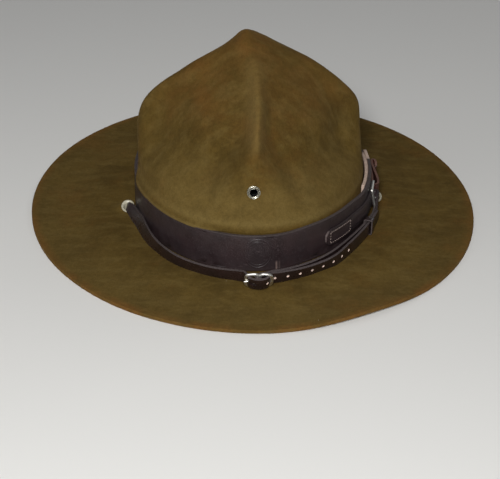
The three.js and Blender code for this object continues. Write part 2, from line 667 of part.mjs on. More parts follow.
function add(name, geometry, finish) {
  const mesh = new THREE.Mesh(geometry, finish);
  mesh.name = name;
  hat.add(mesh);
  return mesh;
}

add('felt_body', buildFelt(), felt);

const front = crownEyeletFrame();
const frontUp = front.normal.clone().cross(vec(1, 0, 0)).normalize();
const crownEyelet = eyeletBody(CROWN_EYELET, FELT + GAP);
add('crown_eyelet', place(crownEyelet, front.center, vec(1, 0, 0), frontUp, front.normal), nickel);

for (const [side, [x, y]] of Object.entries(EYELET_PLACES)) {
  add(`brim_eyelet_${side}`, buildBrimEyelet(), enamelled).position.set(x, y, 0);
}

add('hat_band', buildHatBand(), bandLeather);
add('band_chape', buildBandChape(), bandLeather);
add('band_buckle', buildBandBuckle(), nickel);
add('band_billet', buildBandBillet(), bandLeather);
add('chin_strap', buildChinStrap(), strapLeather);
add('strap_buckle', buildStrapBuckle(), nickel);
const tongue = add('strap_buckle_tongue', buildTongue(), nickel);
tongue.position.set(STRAP.shiftX, -STRAP.halfY - BUCKLE.out, brimTop + GAP + BUCKLE.height / 2);

const keeperOut = (STRAP.thick + GAP) / 2 - KEEPER.pinch;
const keeperPlace = onOval(STRAP.halfX, STRAP.halfY, STRAP.shiftX, KEEPER.angle, keeperOut);
add('strap_keeper', buildKeeper(keeperPlace), strapLeather);

export default hat;
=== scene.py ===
import bisect
import math
import bpy
from mathutils import Matrix, Vector, noise


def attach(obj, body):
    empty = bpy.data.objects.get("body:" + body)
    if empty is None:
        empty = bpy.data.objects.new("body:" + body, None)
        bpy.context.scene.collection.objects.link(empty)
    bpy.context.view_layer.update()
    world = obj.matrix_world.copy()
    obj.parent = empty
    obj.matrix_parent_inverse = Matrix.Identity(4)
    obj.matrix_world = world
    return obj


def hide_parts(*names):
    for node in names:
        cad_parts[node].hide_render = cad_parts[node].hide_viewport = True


# A worn felt campaign hat. The tables keep the frame's sizes and places, and the finish is made here.
# Lengths in the tables are millimetres. Front is -Y, the wearer's left is +X.

mm = 0.001
upward = Vector((0, 0, 1))

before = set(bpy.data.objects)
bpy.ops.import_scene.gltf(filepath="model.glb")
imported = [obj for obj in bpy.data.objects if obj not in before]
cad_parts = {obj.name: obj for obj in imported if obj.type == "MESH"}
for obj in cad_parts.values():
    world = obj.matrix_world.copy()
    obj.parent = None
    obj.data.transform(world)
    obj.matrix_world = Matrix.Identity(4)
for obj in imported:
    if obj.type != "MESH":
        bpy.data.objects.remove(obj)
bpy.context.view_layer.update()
print("frame loaded:", ", ".join(sorted(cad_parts)))


# Small tools that every piece uses

def pick(*pieces):
    bpy.ops.object.select_all(action='DESELECT')
    for piece in pieces:
        piece.select_set(True)
    bpy.context.view_layer.objects.active = pieces[0]


def applyModifiers(piece):
    pick(piece)
    for modifier in list(piece.modifiers):
        bpy.ops.object.modifier_apply(modifier=modifier.name)


def addModifier(piece, kind, **values):
    modifier = piece.modifiers.new(kind.lower(), kind)
    for key, value in values.items():
        setattr(modifier, key, value)
    return modifier


def newShape(name, add, **values):     # made with nothing else selected
    bpy.ops.object.select_all(action='DESELECT')
    add(**values)
    bpy.context.object.name = name
    return bpy.context.object


def newGrid(name, columns, rows):     # one unit square, to be bent vertex by vertex
    add = bpy.ops.mesh.primitive_grid_add
    return newShape(name, add, x_subdivisions=columns, y_subdivisions=rows, size=1)


ringThick = 0.25


def newRing(name, segments, sides, radius=1, thick=ringThick):
    return newShape(name, bpy.ops.mesh.primitive_torus_add, major_segments=segments, minor_segments=sides,
                    major_radius=radius, minor_radius=thick)


def joinPieces(name, pieces):
    pick(*pieces)
    bpy.ops.object.join()
    pieces[0].name = name
    return pieces[0]


def recalculate(piece):     # doubles first, so that a closed shell has one outside
    pick(piece)
    bpy.ops.object.mode_set(mode='EDIT')
    bpy.ops.mesh.select_all(action='SELECT')
    bpy.ops.mesh.remove_doubles(threshold=0.00001)
    bpy.ops.mesh.normals_make_consistent(inside=False)
    bpy.ops.object.mode_set(mode='OBJECT')


def shadeSmooth(piece, angle=40):
    pick(piece)
    bpy.ops.object.shade_smooth_by_angle(angle=math.radians(angle))


def placeMesh(piece, origin, xAxis, yAxis, zAxis):     # turns a piece made at the origin to its place
    turn = Matrix((xAxis, yAxis, zAxis)).transposed().to_4x4()
    piece.data.transform(Matrix.Translation(Vector(origin)) @ turn)


def finishPiece(piece, materials, slot, *nodes, angle=40):     # nodes are the solids it stands for
    slots = piece.data.materials
    for i, finish in enumerate(materials):     # in place, so that the faces keep their slots
        if i < len(slots):
            slots[i] = finish
        else:
            slots.append(finish)
    shadeSmooth(piece, angle)
    piece.data.transform(Matrix.Scale(mm, 4))
    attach(piece, "root")
    if nodes:
        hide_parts(*nodes)
    print(f"{piece.name}: {len(piece.data.polygons)} faces")
    return piece


def table(columns, *rows):     # rows of named numbers
    return [dict(zip(columns.split(), row)) for row in rows]


def blendValue(a, b, t):
    return a + (b - a) * t


def clamped(value):
    return min(1, max(0, value))


def ease(value, low, high):
    t = clamped((value - low) / (high - low))
    return t * t * (3 - 2 * t)


def bell(value, middle, width):
    return math.exp(-((value - middle) / width) ** 2)


def curveAt(rows, key, column, value):     # smooth curve through a table's rows
    places = [row[key] for row in rows]
    values = [row[column] for row in rows]
    upper = min(len(rows) - 1, max(1, bisect.bisect_right(places, value)))
    lower = upper - 1
    span = places[upper] - places[lower]
    t = clamped((value - places[lower]) / span)

    def slope(i):
        before, after = max(0, i - 1), min(len(rows) - 1, i + 1)
        return (values[after] - values[before]) / (places[after] - places[before])

    start, end = slope(lower) * span, slope(upper) * span
    a, b = values[lower], values[upper]
    leaving = ((2 * t - 3) * t * t + 1) * a + ((t - 2) * t + 1) * t * start
    return leaving + (3 - 2 * t) * t * t * b + (t - 1) * t * t * end


def ripple(place, size, seed):     # even noise between -1 and 1, with waves of about that size
    return noise.noise(Vector(place) / size + Vector((seed, seed * 1.7, seed * 0.3)))


# Shader tools

def addNode(tree, kind, settings=None, **values):     # i0, i1 and so on name a socket by its number
    made = tree.nodes.new('ShaderNode' + kind)
    for key, value in (settings or {}).items():
        setattr(made, key, value)
    for key, value in values.items():
        numbered = key[0] == "i" and key[1:].isdigit()
        socket = made.inputs[int(key[1:]) if numbered else key.replace("_", " ")]
        if isinstance(value, bpy.types.NodeSocket):
            tree.links.new(value, socket)
        else:
            socket.default_value = value
    return made


def connect(tree, sockets, **sources):     # to sockets by their names, with _ for a space
    for key, source in sources.items():
        tree.links.new(source, sockets[key.replace("_", " ")])


def maths(tree, operation, a, b=0.0):
    return addNode(tree, 'Math', {"operation": operation}, i0=a, i1=b).outputs[0]


def times(tree, a, b):
    return maths(tree, 'MULTIPLY', a, b)


def plus(tree, a, b):
    return maths(tree, 'ADD', a, b)


def minus(tree, a, b):
    return maths(tree, 'SUBTRACT', a, b)


def mixColours(tree, share, a, b, kind='MIX'):
    node = addNode(tree, 'Mix', {"data_type": 'RGBA', "blend_type": kind}, i0=share, i6=a, i7=b)
    return node.outputs[2]


def tint(tree, colour, mask, share, other):     # another colour where the mask is, that strongly
    return mixColours(tree, times(tree, mask, share), colour, other)


def mottled(tree, value, a, b):     # two colours, by a noise
    return mixColours(tree, spread(tree, value, 0.3, 0.7), a, b)


def shaded(colour, factor):
    return tuple(factor * c for c in colour[:3]) + (1,)


def spread(tree, value, low, high, toLow=0.0, toHigh=1.0):     # map range, smooth and clamped
    settings = {"interpolation_type": 'SMOOTHSTEP'}
    node = addNode(tree, 'MapRange', settings, i0=value, i1=low, i2=high, i3=toLow, i4=toHigh)
    return node.outputs[0]


def noiseAt(tree, place, scale, detail=3.0, rough=0.55):
    values = {"Vector": place, "Scale": scale, "Detail": detail, "Roughness": rough}
    return addNode(tree, 'TexNoise', **values).outputs[0]


def stretch(tree, place, turn, scale):
    return addNode(tree, 'Mapping', Vector=place, Rotation=turn, Scale=scale).outputs[0]


def attribute(tree, name):
    return addNode(tree, 'Attribute', {"attribute_name": name}).outputs["Fac"]


def newGroup(name, outputs, **inputs):     # each group reads a place and a few numbers, and gives numbers
    group = bpy.data.node_groups.new(name, 'ShaderNodeTree')
    group.interface.new_socket("Vector", in_out='INPUT', socket_type='NodeSocketVector')
    for label, value in inputs.items():
        label = label.replace("_", " ")
        socket = group.interface.new_socket(label, in_out='INPUT', socket_type='NodeSocketFloat')
        socket.default_value = value
    for label in outputs:
        group.interface.new_socket(label, in_out='OUTPUT', socket_type='NodeSocketFloat')
    source = group.nodes.new('NodeGroupInput').outputs
    return group, source["Vector"], source, group.nodes.new('NodeGroupOutput').inputs


def useGroup(tree, group, place, **values):
    return addNode(tree, 'Group', {"node_tree": group}, Vector=place, **values).outputs


def buildPatchGroup():     # soft stains and handling marks, two sizes of noise
    group, place, source, sink = newGroup("softPatches", ["Mask"], Patch_Scale=30.0)
    broad = noiseAt(group, place, source["Patch Scale"], 4.0, 0.6)
    finer = times(group, source["Patch Scale"], 4.3)
    spots = noiseAt(group, place, finer, 3.0, 0.6)
    mixed = plus(group, times(group, broad, 0.68), times(group, spots, 0.32))
    connect(group, sink, Mask=spread(group, mixed, 0.36, 0.64))
    return group


def buildSpeckGroup():     # sparse dots, the lint on the felt
    group, place, source, sink = newGroup("fineSpecks", ["Mask"], Speck_Scale=200.0, Reach=0.2, Share=0.02)
    cells = addNode(group, 'TexVoronoi', Vector=place, Scale=source["Speck Scale"])
    near = maths(group, 'LESS_THAN', cells.outputs["Distance"], source["Reach"])
    chance = addNode(group, 'SeparateColor', Color=cells.outputs["Color"]).outputs[0]
    connect(group, sink, Mask=times(group, near, maths(group, 'LESS_THAN', chance, source["Share"])))
    return group


def buildGrainGroup():     # pores and fine wrinkles of finished leather
    group, place, source, sink = newGroup("leatherGrain", ["Height", "Mottle"], Pore_Scale=900.0)
    scale = source["Pore Scale"]
    pores = addNode(group, 'TexVoronoi', {"feature": 'SMOOTH_F1'}, Vector=place, Scale=scale)
    wrinkles = noiseAt(group, place, times(group, scale, 0.22), 4.0, 0.65)
    height = plus(group, times(group, pores.outputs["Distance"], 0.5), wrinkles)
    connect(group, sink, Height=height)
    connect(group, sink, Mottle=noiseAt(group, place, times(group, scale, 0.07), 5.0))
    return group


def buildScratchGroup():     # thin straight marks, for metal and polished leather
    group, place, source, sink = newGroup("thinScratches", ["Mask"], Mark_Scale=300.0)
    drawn = stretch(group, place, (0.3, 0.5, 0.7), (1, 14, 5))
    marks = noiseAt(group, drawn, source["Mark Scale"], 2.0, 0.5)
    connect(group, sink, Mask=spread(group, marks, 0.62, 0.7))
    return group


softPatches = buildPatchGroup()
fineSpecks = buildSpeckGroup()
leatherGrain = buildGrainGroup()
thinScratches = buildScratchGroup()


def newMaterial(name, **fixed):
    material = bpy.data.materials.new(name)
    material.use_nodes = True
    tree = material.node_tree
    shader = tree.nodes["Principled BSDF"]
    for key, value in fixed.items():
        shader.inputs[key.replace("_", " ")].default_value = value
    return material, tree, shader.inputs, addNode(tree, 'TexCoord').outputs["Object"]


def flatPlace(tree):     # metres along and across a strap, from its map
    uv = addNode(tree, 'TexCoord').outputs["UV"]
    return addNode(tree, 'SeparateXYZ', Vector=uv).outputs


def addBump(tree, sockets, height, distance, strength=1.0):
    bump = addNode(tree, 'Bump', Height=height, Distance=distance, Strength=strength)
    connect(tree, sockets, Normal=bump.outputs[0])


# Felt of crown and brim

feltFinish = {
    "ground": (0.091, 0.0565, 0.0125, 1), "shade": (0.060, 0.037, 0.0080, 1),
    "bright": (0.150, 0.104, 0.033, 1), "tan": (0.105, 0.050, 0.0100, 1),
    "rubbed": (0.17, 0.068, 0.016, 1), "lint": (0.62, 0.54, 0.40, 1), "pale": (1.3, 1.3, 1.3, 1),
    "deep": (0.62, 0.6, 0.56, 1), "patchScale": 24, "streakScale": 55.0, "handledScale": 17.0,
    "wornScale": 70.0, "fibreScale": 900, "tuftScale": 330.0, "speckScale": 130,
}


def makeFelt():
    look = feltFinish
    material, tree, sockets, place = newMaterial(
        "felt", Roughness=0.95, Sheen_Weight=0.08, Sheen_Roughness=0.5, Sheen_Tint=(0.7, 0.45, 0.16, 1),
        Specular_IOR_Level=0.08)
    patches = useGroup(tree, softPatches, place, Patch_Scale=look["patchScale"])["Mask"]
    colour = mixColours(tree, patches, look["shade"], look["ground"])
    brushed = stretch(tree, place, (0.2, 0.1, 0.6), (1, 2.6, 1.4))
    streaks = spread(tree, noiseAt(tree, brushed, look["streakScale"], 5.0, 0.62), 0.42, 0.68)
    colour = tint(tree, colour, streaks, 0.3, look["bright"])
    handled = spread(tree, noiseAt(tree, place, look["handledScale"], 5.0, 0.68), 0.5, 0.72)
    colour = tint(tree, colour, handled, 0.55, look["tan"])
    # painted light: the felt is made lighter where light falls on it, by the attribute that paintFelt sets
    colour = tint(tree, colour, attribute(tree, "paintedLight"), 0.75, look["bright"])
    patchy = spread(tree, noiseAt(tree, place, look["wornScale"], 4.0, 0.6), 0.3, 0.62, 0.25, 1.0)
    colour = tint(tree, colour, times(tree, attribute(tree, "rub"), patchy), 0.85, look["rubbed"])
    fibres = noiseAt(tree, place, look["fibreScale"], 4.0, 0.7)
    colour = mixColours(tree, spread(tree, fibres, 0.3, 0.7, 0.0, 0.5), colour, look["pale"], 'MULTIPLY')
    tufts = noiseAt(tree, place, look["tuftScale"], 5.0, 0.72)
    colour = mixColours(tree, spread(tree, tufts, 0.36, 0.6, 0.42, 0.0), colour, look["deep"], 'MULTIPLY')
    lint = useGroup(tree, fineSpecks, place, Speck_Scale=look["speckScale"], Reach=0.055, Share=0.035)
    colour = tint(tree, colour, lint["Mask"], 0.6, look["lint"])
    connect(tree, sockets, Base_Color=colour)
    addBump(tree, sockets, plus(tree, fibres, times(tree, tufts, 0.9)), 0.0006, 0.5)
    return material


# The brim eyelets are left and right as the camera sees them
eyelets = {
    "crownHeight": 64, "leftPlace": (-95.8, -20), "rightPlace": (94.6, -4.5), "holeRadius": 3.65,
    "crownHoleRadius": 3.3, "tilt": 25, "pullFrom": 4, "pullReach": 12, "pullShare": 0.8, "pullStart": 5,
}

feltShape = {
    "thick": 2.7, "columns": 208, "brimHalfWidth": 170, "brimHalfLength": 182, "rise": 3, "flatRing": 26,
    "riseRun": 36, "uneven": 0.35, "footFlare": 1.2,
    "crownHalfWidth": 86, "crownHalfLength": 108.5, "shiftX": -2, "footZ": 5.7, "top": 144.6,
    "brimRings": 30, "crownRings": 84, "waveAngle": 27, "waveSpread": 15, "waveLift": 3.2, "wavePull": 2,
    "frontRidge": 6.4, "sideRidge": 12, "dentLow": 56, "dentFront": 92, "dentSide": 82, "dentSpread": 34,
}

# Crown outline at each height, as shares of the oval at its foot; bite is how deep the dents are there
crownSections = table(
    "z x side front back bite",
    (5.7, -2, 1.014, 1.012, 1.012, 0),
    (8, -2, 1.0, 1.0, 1.0, 0),
    (24, -2, 1.0, 1.0, 1.0, 0),
    (38, -2.2, 0.996, 0.985, 0.99, 0),
    (50, -3.2, 0.988, 0.955, 0.972, 0.1),
    (58, -3.8, 0.983, 0.934, 0.96, 0.15),
    (65, -4.1, 0.978, 0.916, 0.948, 0.18),
    (73, -4.1, 0.972, 0.895, 0.93, 0.21),
    (81, -3.7, 0.957, 0.874, 0.905, 0.24),
    (88, -3, 0.932, 0.857, 0.878, 0.265),
    (95, -2.2, 0.882, 0.834, 0.838, 0.285),
    (103, -1.6, 0.785, 0.762, 0.755, 0.3),
    (111, -0.4, 0.664, 0.664, 0.65, 0.31),
    (119, -0.4, 0.53, 0.542, 0.53, 0.315),
    (127, -1, 0.362, 0.386, 0.375, 0.31),
    (134, -3.2, 0.208, 0.25, 0.24, 0.29),
    (139.5, -6.4, 0.092, 0.14, 0.13, 0.24),
    (142.8, -7, 0.04, 0.062, 0.058, 0.15),
    (144.6, -7, 0, 0, 0, 0))


def crownPlace(angle, z):
    shape = feltShape
    row = {key: curveAt(crownSections, "z", key, z) for key in ("x", "side", "front", "back", "bite")}
    across, along = math.sin(angle), -math.cos(angle)
    end = row["front"] if along < 0 else row["back"]
    share = max(0, end * along * along + row["side"] * across * across)
    x = shape["crownHalfWidth"] * across * share
    y = shape["crownHalfLength"] * along * share
    frontPull = max(0, 1 - abs(x) / shape["dentSpread"]) * (shape["dentFront"] - shape["dentLow"])
    sidePull = max(0, 1 - abs(y) / shape["dentSpread"]) * (shape["dentSide"] - shape["dentLow"])
    start = shape["dentLow"] + max(frontPull, sidePull)
    depth = ease(z, start - 11, start + 17)
    ridgeX = 1 / (1 + (x / shape["frontRidge"]) ** 2)
    ridgeY = 1 / (1 + (y / shape["sideRidge"]) ** 2)
    kept = 1 - row["bite"] * depth * (1 - ridgeX) * (1 - ridgeY)
    return Vector((x * kept + row["x"], y * kept, z))


def brimPlace(angle, reach):
    shape = feltShape
    crest = bell(angle, math.radians(shape["waveAngle"]), math.radians(shape["waveSpread"]))
    wave = crest * reach * reach
    pull, flare = shape["wavePull"] * wave, shape["footFlare"]
    halfX = blendValue(shape["crownHalfWidth"] + flare, shape["brimHalfWidth"], reach) - pull
    halfY = blendValue(shape["crownHalfLength"] + flare, shape["brimHalfLength"], reach) - pull
    fromRim = (1 - reach) * (shape["brimHalfWidth"] - shape["crownHalfWidth"])
    under = shape["rise"] * ease(fromRim, shape["flatRing"], shape["flatRing"] + shape["riseRun"])
    z = under + shape["thick"] + shape["waveLift"] * wave
    x = blendValue(shape["shiftX"], 0, reach) + halfX * math.sin(angle)
    place = Vector((x, -halfY * math.cos(angle), z))
    place.z += shape["uneven"] + shape["uneven"] * ripple(place, 55, 3)     # never below the table
    for x, y in (eyelets["leftPlace"], eyelets["rightPlace"]):     # the strap pulls the felt up behind them
        away = math.hypot(place.x - x, place.y - y)
        share = (1 - ease(away, eyelets["pullFrom"], eyelets["pullReach"])) * ease(reach, 0.03, 0.1)
        behind = max(0, place.y - y + eyelets["pullStart"])
        place.z += share * behind * math.tan(math.radians(eyelets["tilt"])) * eyelets["pullShare"]
    return place


# On the wearer's right the felt rolls over the band's upper edge, and a little at the front
feltRoll = {
    "begins": (-86, -72), "ends": (-27, -7), "frontAngle": 8, "frontSpread": 20, "frontShare": 0.2,
    "top": 35.3, "drop": 1.6, "dropSpan": (50, 66), "out": 4.1, "down": 1.7,
}


def rolledFelt(place, outward):     # how far it moves a point of the crown; angles are in degrees
    roll = feltRoll
    degrees = math.degrees(math.atan2(place.x, -place.y))
    share = ease(degrees, *roll["begins"]) * (1 - ease(degrees, *roll["ends"]))
    share += roll["frontShare"] * bell(degrees, roll["frontAngle"], roll["frontSpread"])
    top = roll["top"] - roll["drop"] * ease(-degrees, *roll["dropSpan"])
    bulge = ease(place.z, top - 1.2, top + 0.8) * (1 - ease(place.z, top + 2, top + 13))
    return (outward * roll["out"] - upward * roll["down"]) * share * bulge


def feltRings():     # rim first, then over the brim and up the crown to the peak
    shape = feltShape
    side = shape["brimHalfWidth"] - shape["crownHalfWidth"]
    reaches = [1] + [1 - back / side for back in (0.3, 1, 2.2)]     # close together at the rim
    inner = reaches[-1]
    reaches += [inner * (1 - ring / shape["brimRings"]) for ring in range(1, shape["brimRings"] + 1)]
    heights = {tenths / 10 for tenths in range(325, 440, 9)}     # more of them where the felt rolls over
    for ring in range(1, shape["crownRings"] + 1):
        climb = 1 - (1 - ring / shape["crownRings"]) ** 1.5
        heights.add(blendValue(shape["footZ"] + 0.9, shape["top"], climb))
    return [("brim", reach) for reach in reaches] + [("crown", height) for height in sorted(heights)]


def makeHoleCutter(place, direction, radius):
    cutter = newShape("cutter", bpy.ops.mesh.primitive_cylinder_add, vertices=40, radius=radius, depth=16)
    turn = upward.rotation_difference(direction).to_matrix().to_4x4()
    cutter.data.transform(Matrix.Translation(place) @ turn)
    return cutter


def cutWith(piece, cutters):
    for cutter in cutters:
        addModifier(piece, 'BOOLEAN', object=cutter, operation='DIFFERENCE', solver='EXACT')
    applyModifiers(piece)
    for cutter in cutters:
        bpy.data.objects.remove(cutter)


def crownEyeletFrame():
    centre = crownPlace(0, eyelets["crownHeight"])
    climb = crownPlace(0, eyelets["crownHeight"] + 5) - crownPlace(0, eyelets["crownHeight"] - 5)
    outward = Vector((1, 0, 0)).cross(climb).normalized()
    return centre, outward


def buildFelt():
    shape = feltShape
    rings = feltRings()
    felt = newGrid("felt_hat", shape["columns"], len(rings) - 1)
    for vertex in felt.data.vertices:
        turn = vertex.co.x + 0.5
        kind, value = rings[round((vertex.co.y + 0.5) * (len(rings) - 1))]
        even = turn * math.tau
        angle = even - 0.1 * math.sin(4 * even)     # columns gather at the four ridges
        if kind == "brim":
            vertex.co = brimPlace(angle if angle < math.pi else angle - math.tau, value)
        else:
            place = crownPlace(angle, value)
            calm = ease(value, 40, 60) * ease(shape["top"] - value, 0, 6)
            outward = Vector((place.x, place.y, 0)).normalized()
            place += outward * calm * (0.7 * ripple(place, 26, 1) + 0.28 * ripple(place, 9, 2))
            vertex.co = place + rolledFelt(place, outward)
    recalculate(felt)
    addModifier(felt, 'SOLIDIFY', thickness=shape["thick"], offset=-1, use_even_offset=True)
    applyModifiers(felt)
    centre, outward = crownEyeletFrame()
    cutters = [makeHoleCutter(centre, outward, eyelets["crownHoleRadius"])]
    for x, y in (eyelets["leftPlace"], eyelets["rightPlace"]):
        cutters.append(makeHoleCutter(Vector((x, y, 4)), upward, eyelets["holeRadius"]))
    cutWith(felt, cutters)
    return felt


def paintFelt(felt):     # where the felt is rubbed, and painted light: lighter felt on the brim's front, the front ridge, the low front crown, above the band and on the rolled lip
    rub = felt.data.attributes.new("rub", 'FLOAT', 'POINT')
    paintedLight = felt.data.attributes.new("paintedLight", 'FLOAT', 'POINT')
    shape = feltShape
    for i, vertex in enumerate(felt.data.vertices):
        x, y, z = vertex.co
        oval = math.hypot(x / shape["brimHalfWidth"], y / shape["brimHalfLength"])
        angle = math.atan2(x, -y)
        rim = ease(oval, 0.955, 1.0) * (0.6 + 0.4 * ripple(vertex.co, 30, 5))
        if z < 12:     # the brim, with painted light towards its front
            front = 0.5 + 0.5 * math.cos(angle + 0.5)
            rub.data[i].value = clamped(rim * (0.5 + 0.5 * front))
            paintedLight.data[i].value = 0.3 * ease(oval, 0.62, 0.9) * front
        else:     # the crown
            shoulder = ease(z, 78, 104) * (0.45 + 0.35 * ripple(vertex.co, 30, 7))
            peak = 0.5 * ease(z, 128, 142)
            rub.data[i].value = clamped(0.42 * shoulder + 0.5 * peak)
            # painted highlights on the front ridge, the low front crown, a line above the band and the
            # felt's rolled lip over it
            ridge = bell(x, -3, 6.5) * ease(z, 84, 98) * ease(140 - z, 0, 18) * (y < 0)
            low = ease(z, 36, 42) * ease(80 - z, 0, 26) * ease(math.cos(angle), 0.2, 0.95)
            rolled = bell(z, 35.2, 1.6) * ease(-angle, 0.15, 0.45) * (1 - ease(-angle, 1.1, 1.4))
            line = bell(z, 41.5, 2.6) * (0.5 + 0.5 * math.cos(angle))
            paintedLight.data[i].value = clamped(0.85 * ridge + 0.5 * low + 0.45 * line + 1.08 * rolled)


feltMaterial = makeFelt()
felt = buildFelt()
paintFelt(felt)
finishPiece(felt, [feltMaterial], "felt", "felt_body", angle=50)


# Metals

def makeMetal(name, colour, dull, rough, wornRough):
    material, tree, sockets, place = newMaterial(name, Metallic=1.0)
    patches = useGroup(tree, softPatches, place, Patch_Scale=260.0)["Mask"]
    scratches = useGroup(tree, thinScratches, place, Mark_Scale=420.0)["Mask"]
    connect(tree, sockets, Base_Color=tint(tree, colour, patches, 0.55, dull))
    dullness = spread(tree, patches, 0.0, 1.0, rough, wornRough)
    connect(tree, sockets, Roughness=plus(tree, dullness, times(tree, scratches, 0.14)))
    addBump(tree, sockets, minus(tree, patches, scratches), 0.00006, 0.4)
    return material


def makeEnamel():
    material, tree, sockets, place = newMaterial("creamEnamel", Coat_Weight=0.2, Coat_Roughness=0.25)
    patches = useGroup(tree, softPatches, place, Patch_Scale=330.0)["Mask"]
    colour = mixColours(tree, patches, (0.50, 0.47, 0.36, 1), (0.36, 0.33, 0.24, 1))
    chips = spread(tree, noiseAt(tree, place, 620.0, 3.0, 0.6), 0.63, 0.68)
    connect(tree, sockets, Base_Color=mixColours(tree, chips, colour, (0.14, 0.1, 0.06, 1)))
    connect(tree, sockets, Roughness=spread(tree, chips, 0.0, 1.0, 0.38, 0.7))
    addBump(tree, sockets, minus(tree, 1.0, chips), 0.0001, 0.6)
    return material


nickel = makeMetal("wornNickel", (0.88, 0.87, 0.82, 1), (0.50, 0.47, 0.41, 1), 0.34, 0.5)
agedNickel = makeMetal("agedNickel", (0.60, 0.58, 0.50, 1), (0.24, 0.22, 0.17, 1), 0.16, 0.3)
creamEnamel = makeEnamel()


def turnRing(name, profile):     # drawn up step by step from one circle, then closed on itself
    radius, height = profile[0]
    ring = newShape(name, bpy.ops.mesh.primitive_circle_add, vertices=56, radius=radius)
    ring.data.transform(Matrix.Translation((0, 0, height)))
    bpy.ops.object.mode_set(mode='EDIT')
    bpy.ops.mesh.select_mode(type='EDGE')
    bpy.ops.mesh.select_all(action='SELECT')
    for nextRadius, nextHeight in profile[1:] + profile[:1]:
        bpy.ops.mesh.extrude_region_move(TRANSFORM_OT_translate={"value": (0, 0, nextHeight - height)})
        share = nextRadius / radius
        bpy.ops.transform.resize(value=(share, share, 1), center_override=(0, 0, nextHeight))
        radius, height = nextRadius, nextHeight
    bpy.ops.object.mode_set(mode='OBJECT')
    recalculate(ring)
    addModifier(ring, 'SUBSURF', levels=2, render_levels=2)
    applyModifiers(ring)
    return ring


# Half sections, as (radius, height)
crownEyeletSection = [
    (2.6, -3.9), (4.4, -3.9), (4.4, -3.45), (3.05, -3.35), (3.05, 0), (4.7, 0), (4.85, 0.5), (4.6, 0.85),
    (4.35, 0.6), (4.1, 0.15), (3.7, 0.1), (3.4, 0.7), (3.15, 1.25), (2.85, 1.3), (2.6, 0.6)]
brimEyeletSection = [
    (3.1, -3.9), (4.7, -3.9), (4.7, -3.5), (3.4, -3.4), (3.4, 0.3), (4.9, 0.3), (5.15, 0.8), (4.9, 1.5),
    (4.3, 1.75), (3.7, 1.3), (3.3, 0.8), (3.1, 0.3)]


def buildEyelets():
    centre, outward = crownEyeletFrame()
    up = outward.cross(Vector((1, 0, 0))).normalized()
    ring = turnRing("crown_eyelet_ring", crownEyeletSection)
    placeMesh(ring, centre, (1, 0, 0), up, outward)
    finishPiece(ring, [agedNickel], "nickel", "crown_eyelet", angle=60)
    slope = math.tan(math.radians(eyelets["tilt"]))
    for side in ("left", "right"):
        ring = turnRing(f"brim_eyelet_{side}_ring", brimEyeletSection)
        for vertex in ring.data.vertices:     # the upper half leans as the strap pulls it
            if vertex.co.z > 0:
                vertex.co.z += (vertex.co.y + 5) * slope * min(1, vertex.co.z / 0.3)
        x, y = eyelets[side + "Place"]
        ring.data.transform(Matrix.Translation((x, y, feltShape["footZ"])))
        finishPiece(ring, [creamEnamel], "enamel", f"brim_eyelet_{side}", angle=60)


buildEyelets()


# Leather: cut flat, holes punched flat, then laid along its course

def softenEdges(piece, width, angle=55):
    limit = math.radians(angle)
    addModifier(piece, 'BEVEL', width=width, segments=3, limit_method='ANGLE', angle_limit=limit)


def thicken(piece, thick, edge):     # its slots are the face, the cut edge and the underside
    for _ in range(3):
        piece.data.materials.append(None)
    addModifier(piece, 'SOLIDIFY', thickness=thick, offset=0, material_offset=2, material_offset_rim=1)
    softenEdges(piece, edge)
    applyModifiers(piece)


def cutStrap(name, columns, rows, thick, edge):
    # columns are (along, half width), rows are (share of the half width, dip of the face)
    strap = newGrid(name, len(columns) - 1, len(rows) - 1)
    leather = strap.data
    for vertex in leather.vertices:
        along, halfWidth = columns[round((vertex.co.x + 0.5) * (len(columns) - 1))]
        share, dip = rows[round((vertex.co.y + 0.5) * (len(rows) - 1))]
        vertex.co = (along, share * halfWidth, -dip)
    uvs = leather.uv_layers.active.data
    for loop in leather.loops:     # the map holds metres along and across
        uvs[loop.index].uv = leather.vertices[loop.vertex_index].co.xy * mm
    thicken(strap, thick, edge)
    return strap


def evenColumns(length, halfWidth, step, roundStart=0.0, roundEnd=0.0):
    # the ends are rounded by narrowing the last columns round an arc, down to a blunt tip
    arc = [math.radians(90 - 15 * k) for k in range(5)]
    tip = [(1 - math.sin(turn), halfWidth * max(0.3, math.cos(turn))) for turn in arc]
    start, end = roundStart, length - roundEnd
    count = max(1, round((end - start) / step))
    columns = [(roundStart * back, half) for back, half in tip if roundStart]
    columns += [(start + (end - start) * i / count, halfWidth) for i in range(count + 1)]
    return columns + [(length - roundEnd * back, half) for back, half in reversed(tip) if roundEnd]


def makeCourse(stations):     # each station: point, wide, width share, thickness share
    frames = []
    lengths = [0.0]
    for i, (point, wide, widthShare, thickShare) in enumerate(stations):
        before = stations[max(0, i - 1)][0]
        after = stations[min(len(stations) - 1, i + 1)][0]
        forward = (after - before).normalized()
        outward = forward.cross(wide).normalized()
        across = outward.cross(forward).normalized()
        frames.append({"point": point, "wide": across, "outward": outward, "forward": forward,
                       "widthShare": widthShare, "thickShare": thickShare})
        if i:
            lengths.append(lengths[-1] + (point - stations[i - 1][0]).length)
    return {"lengths": lengths, "frames": frames}


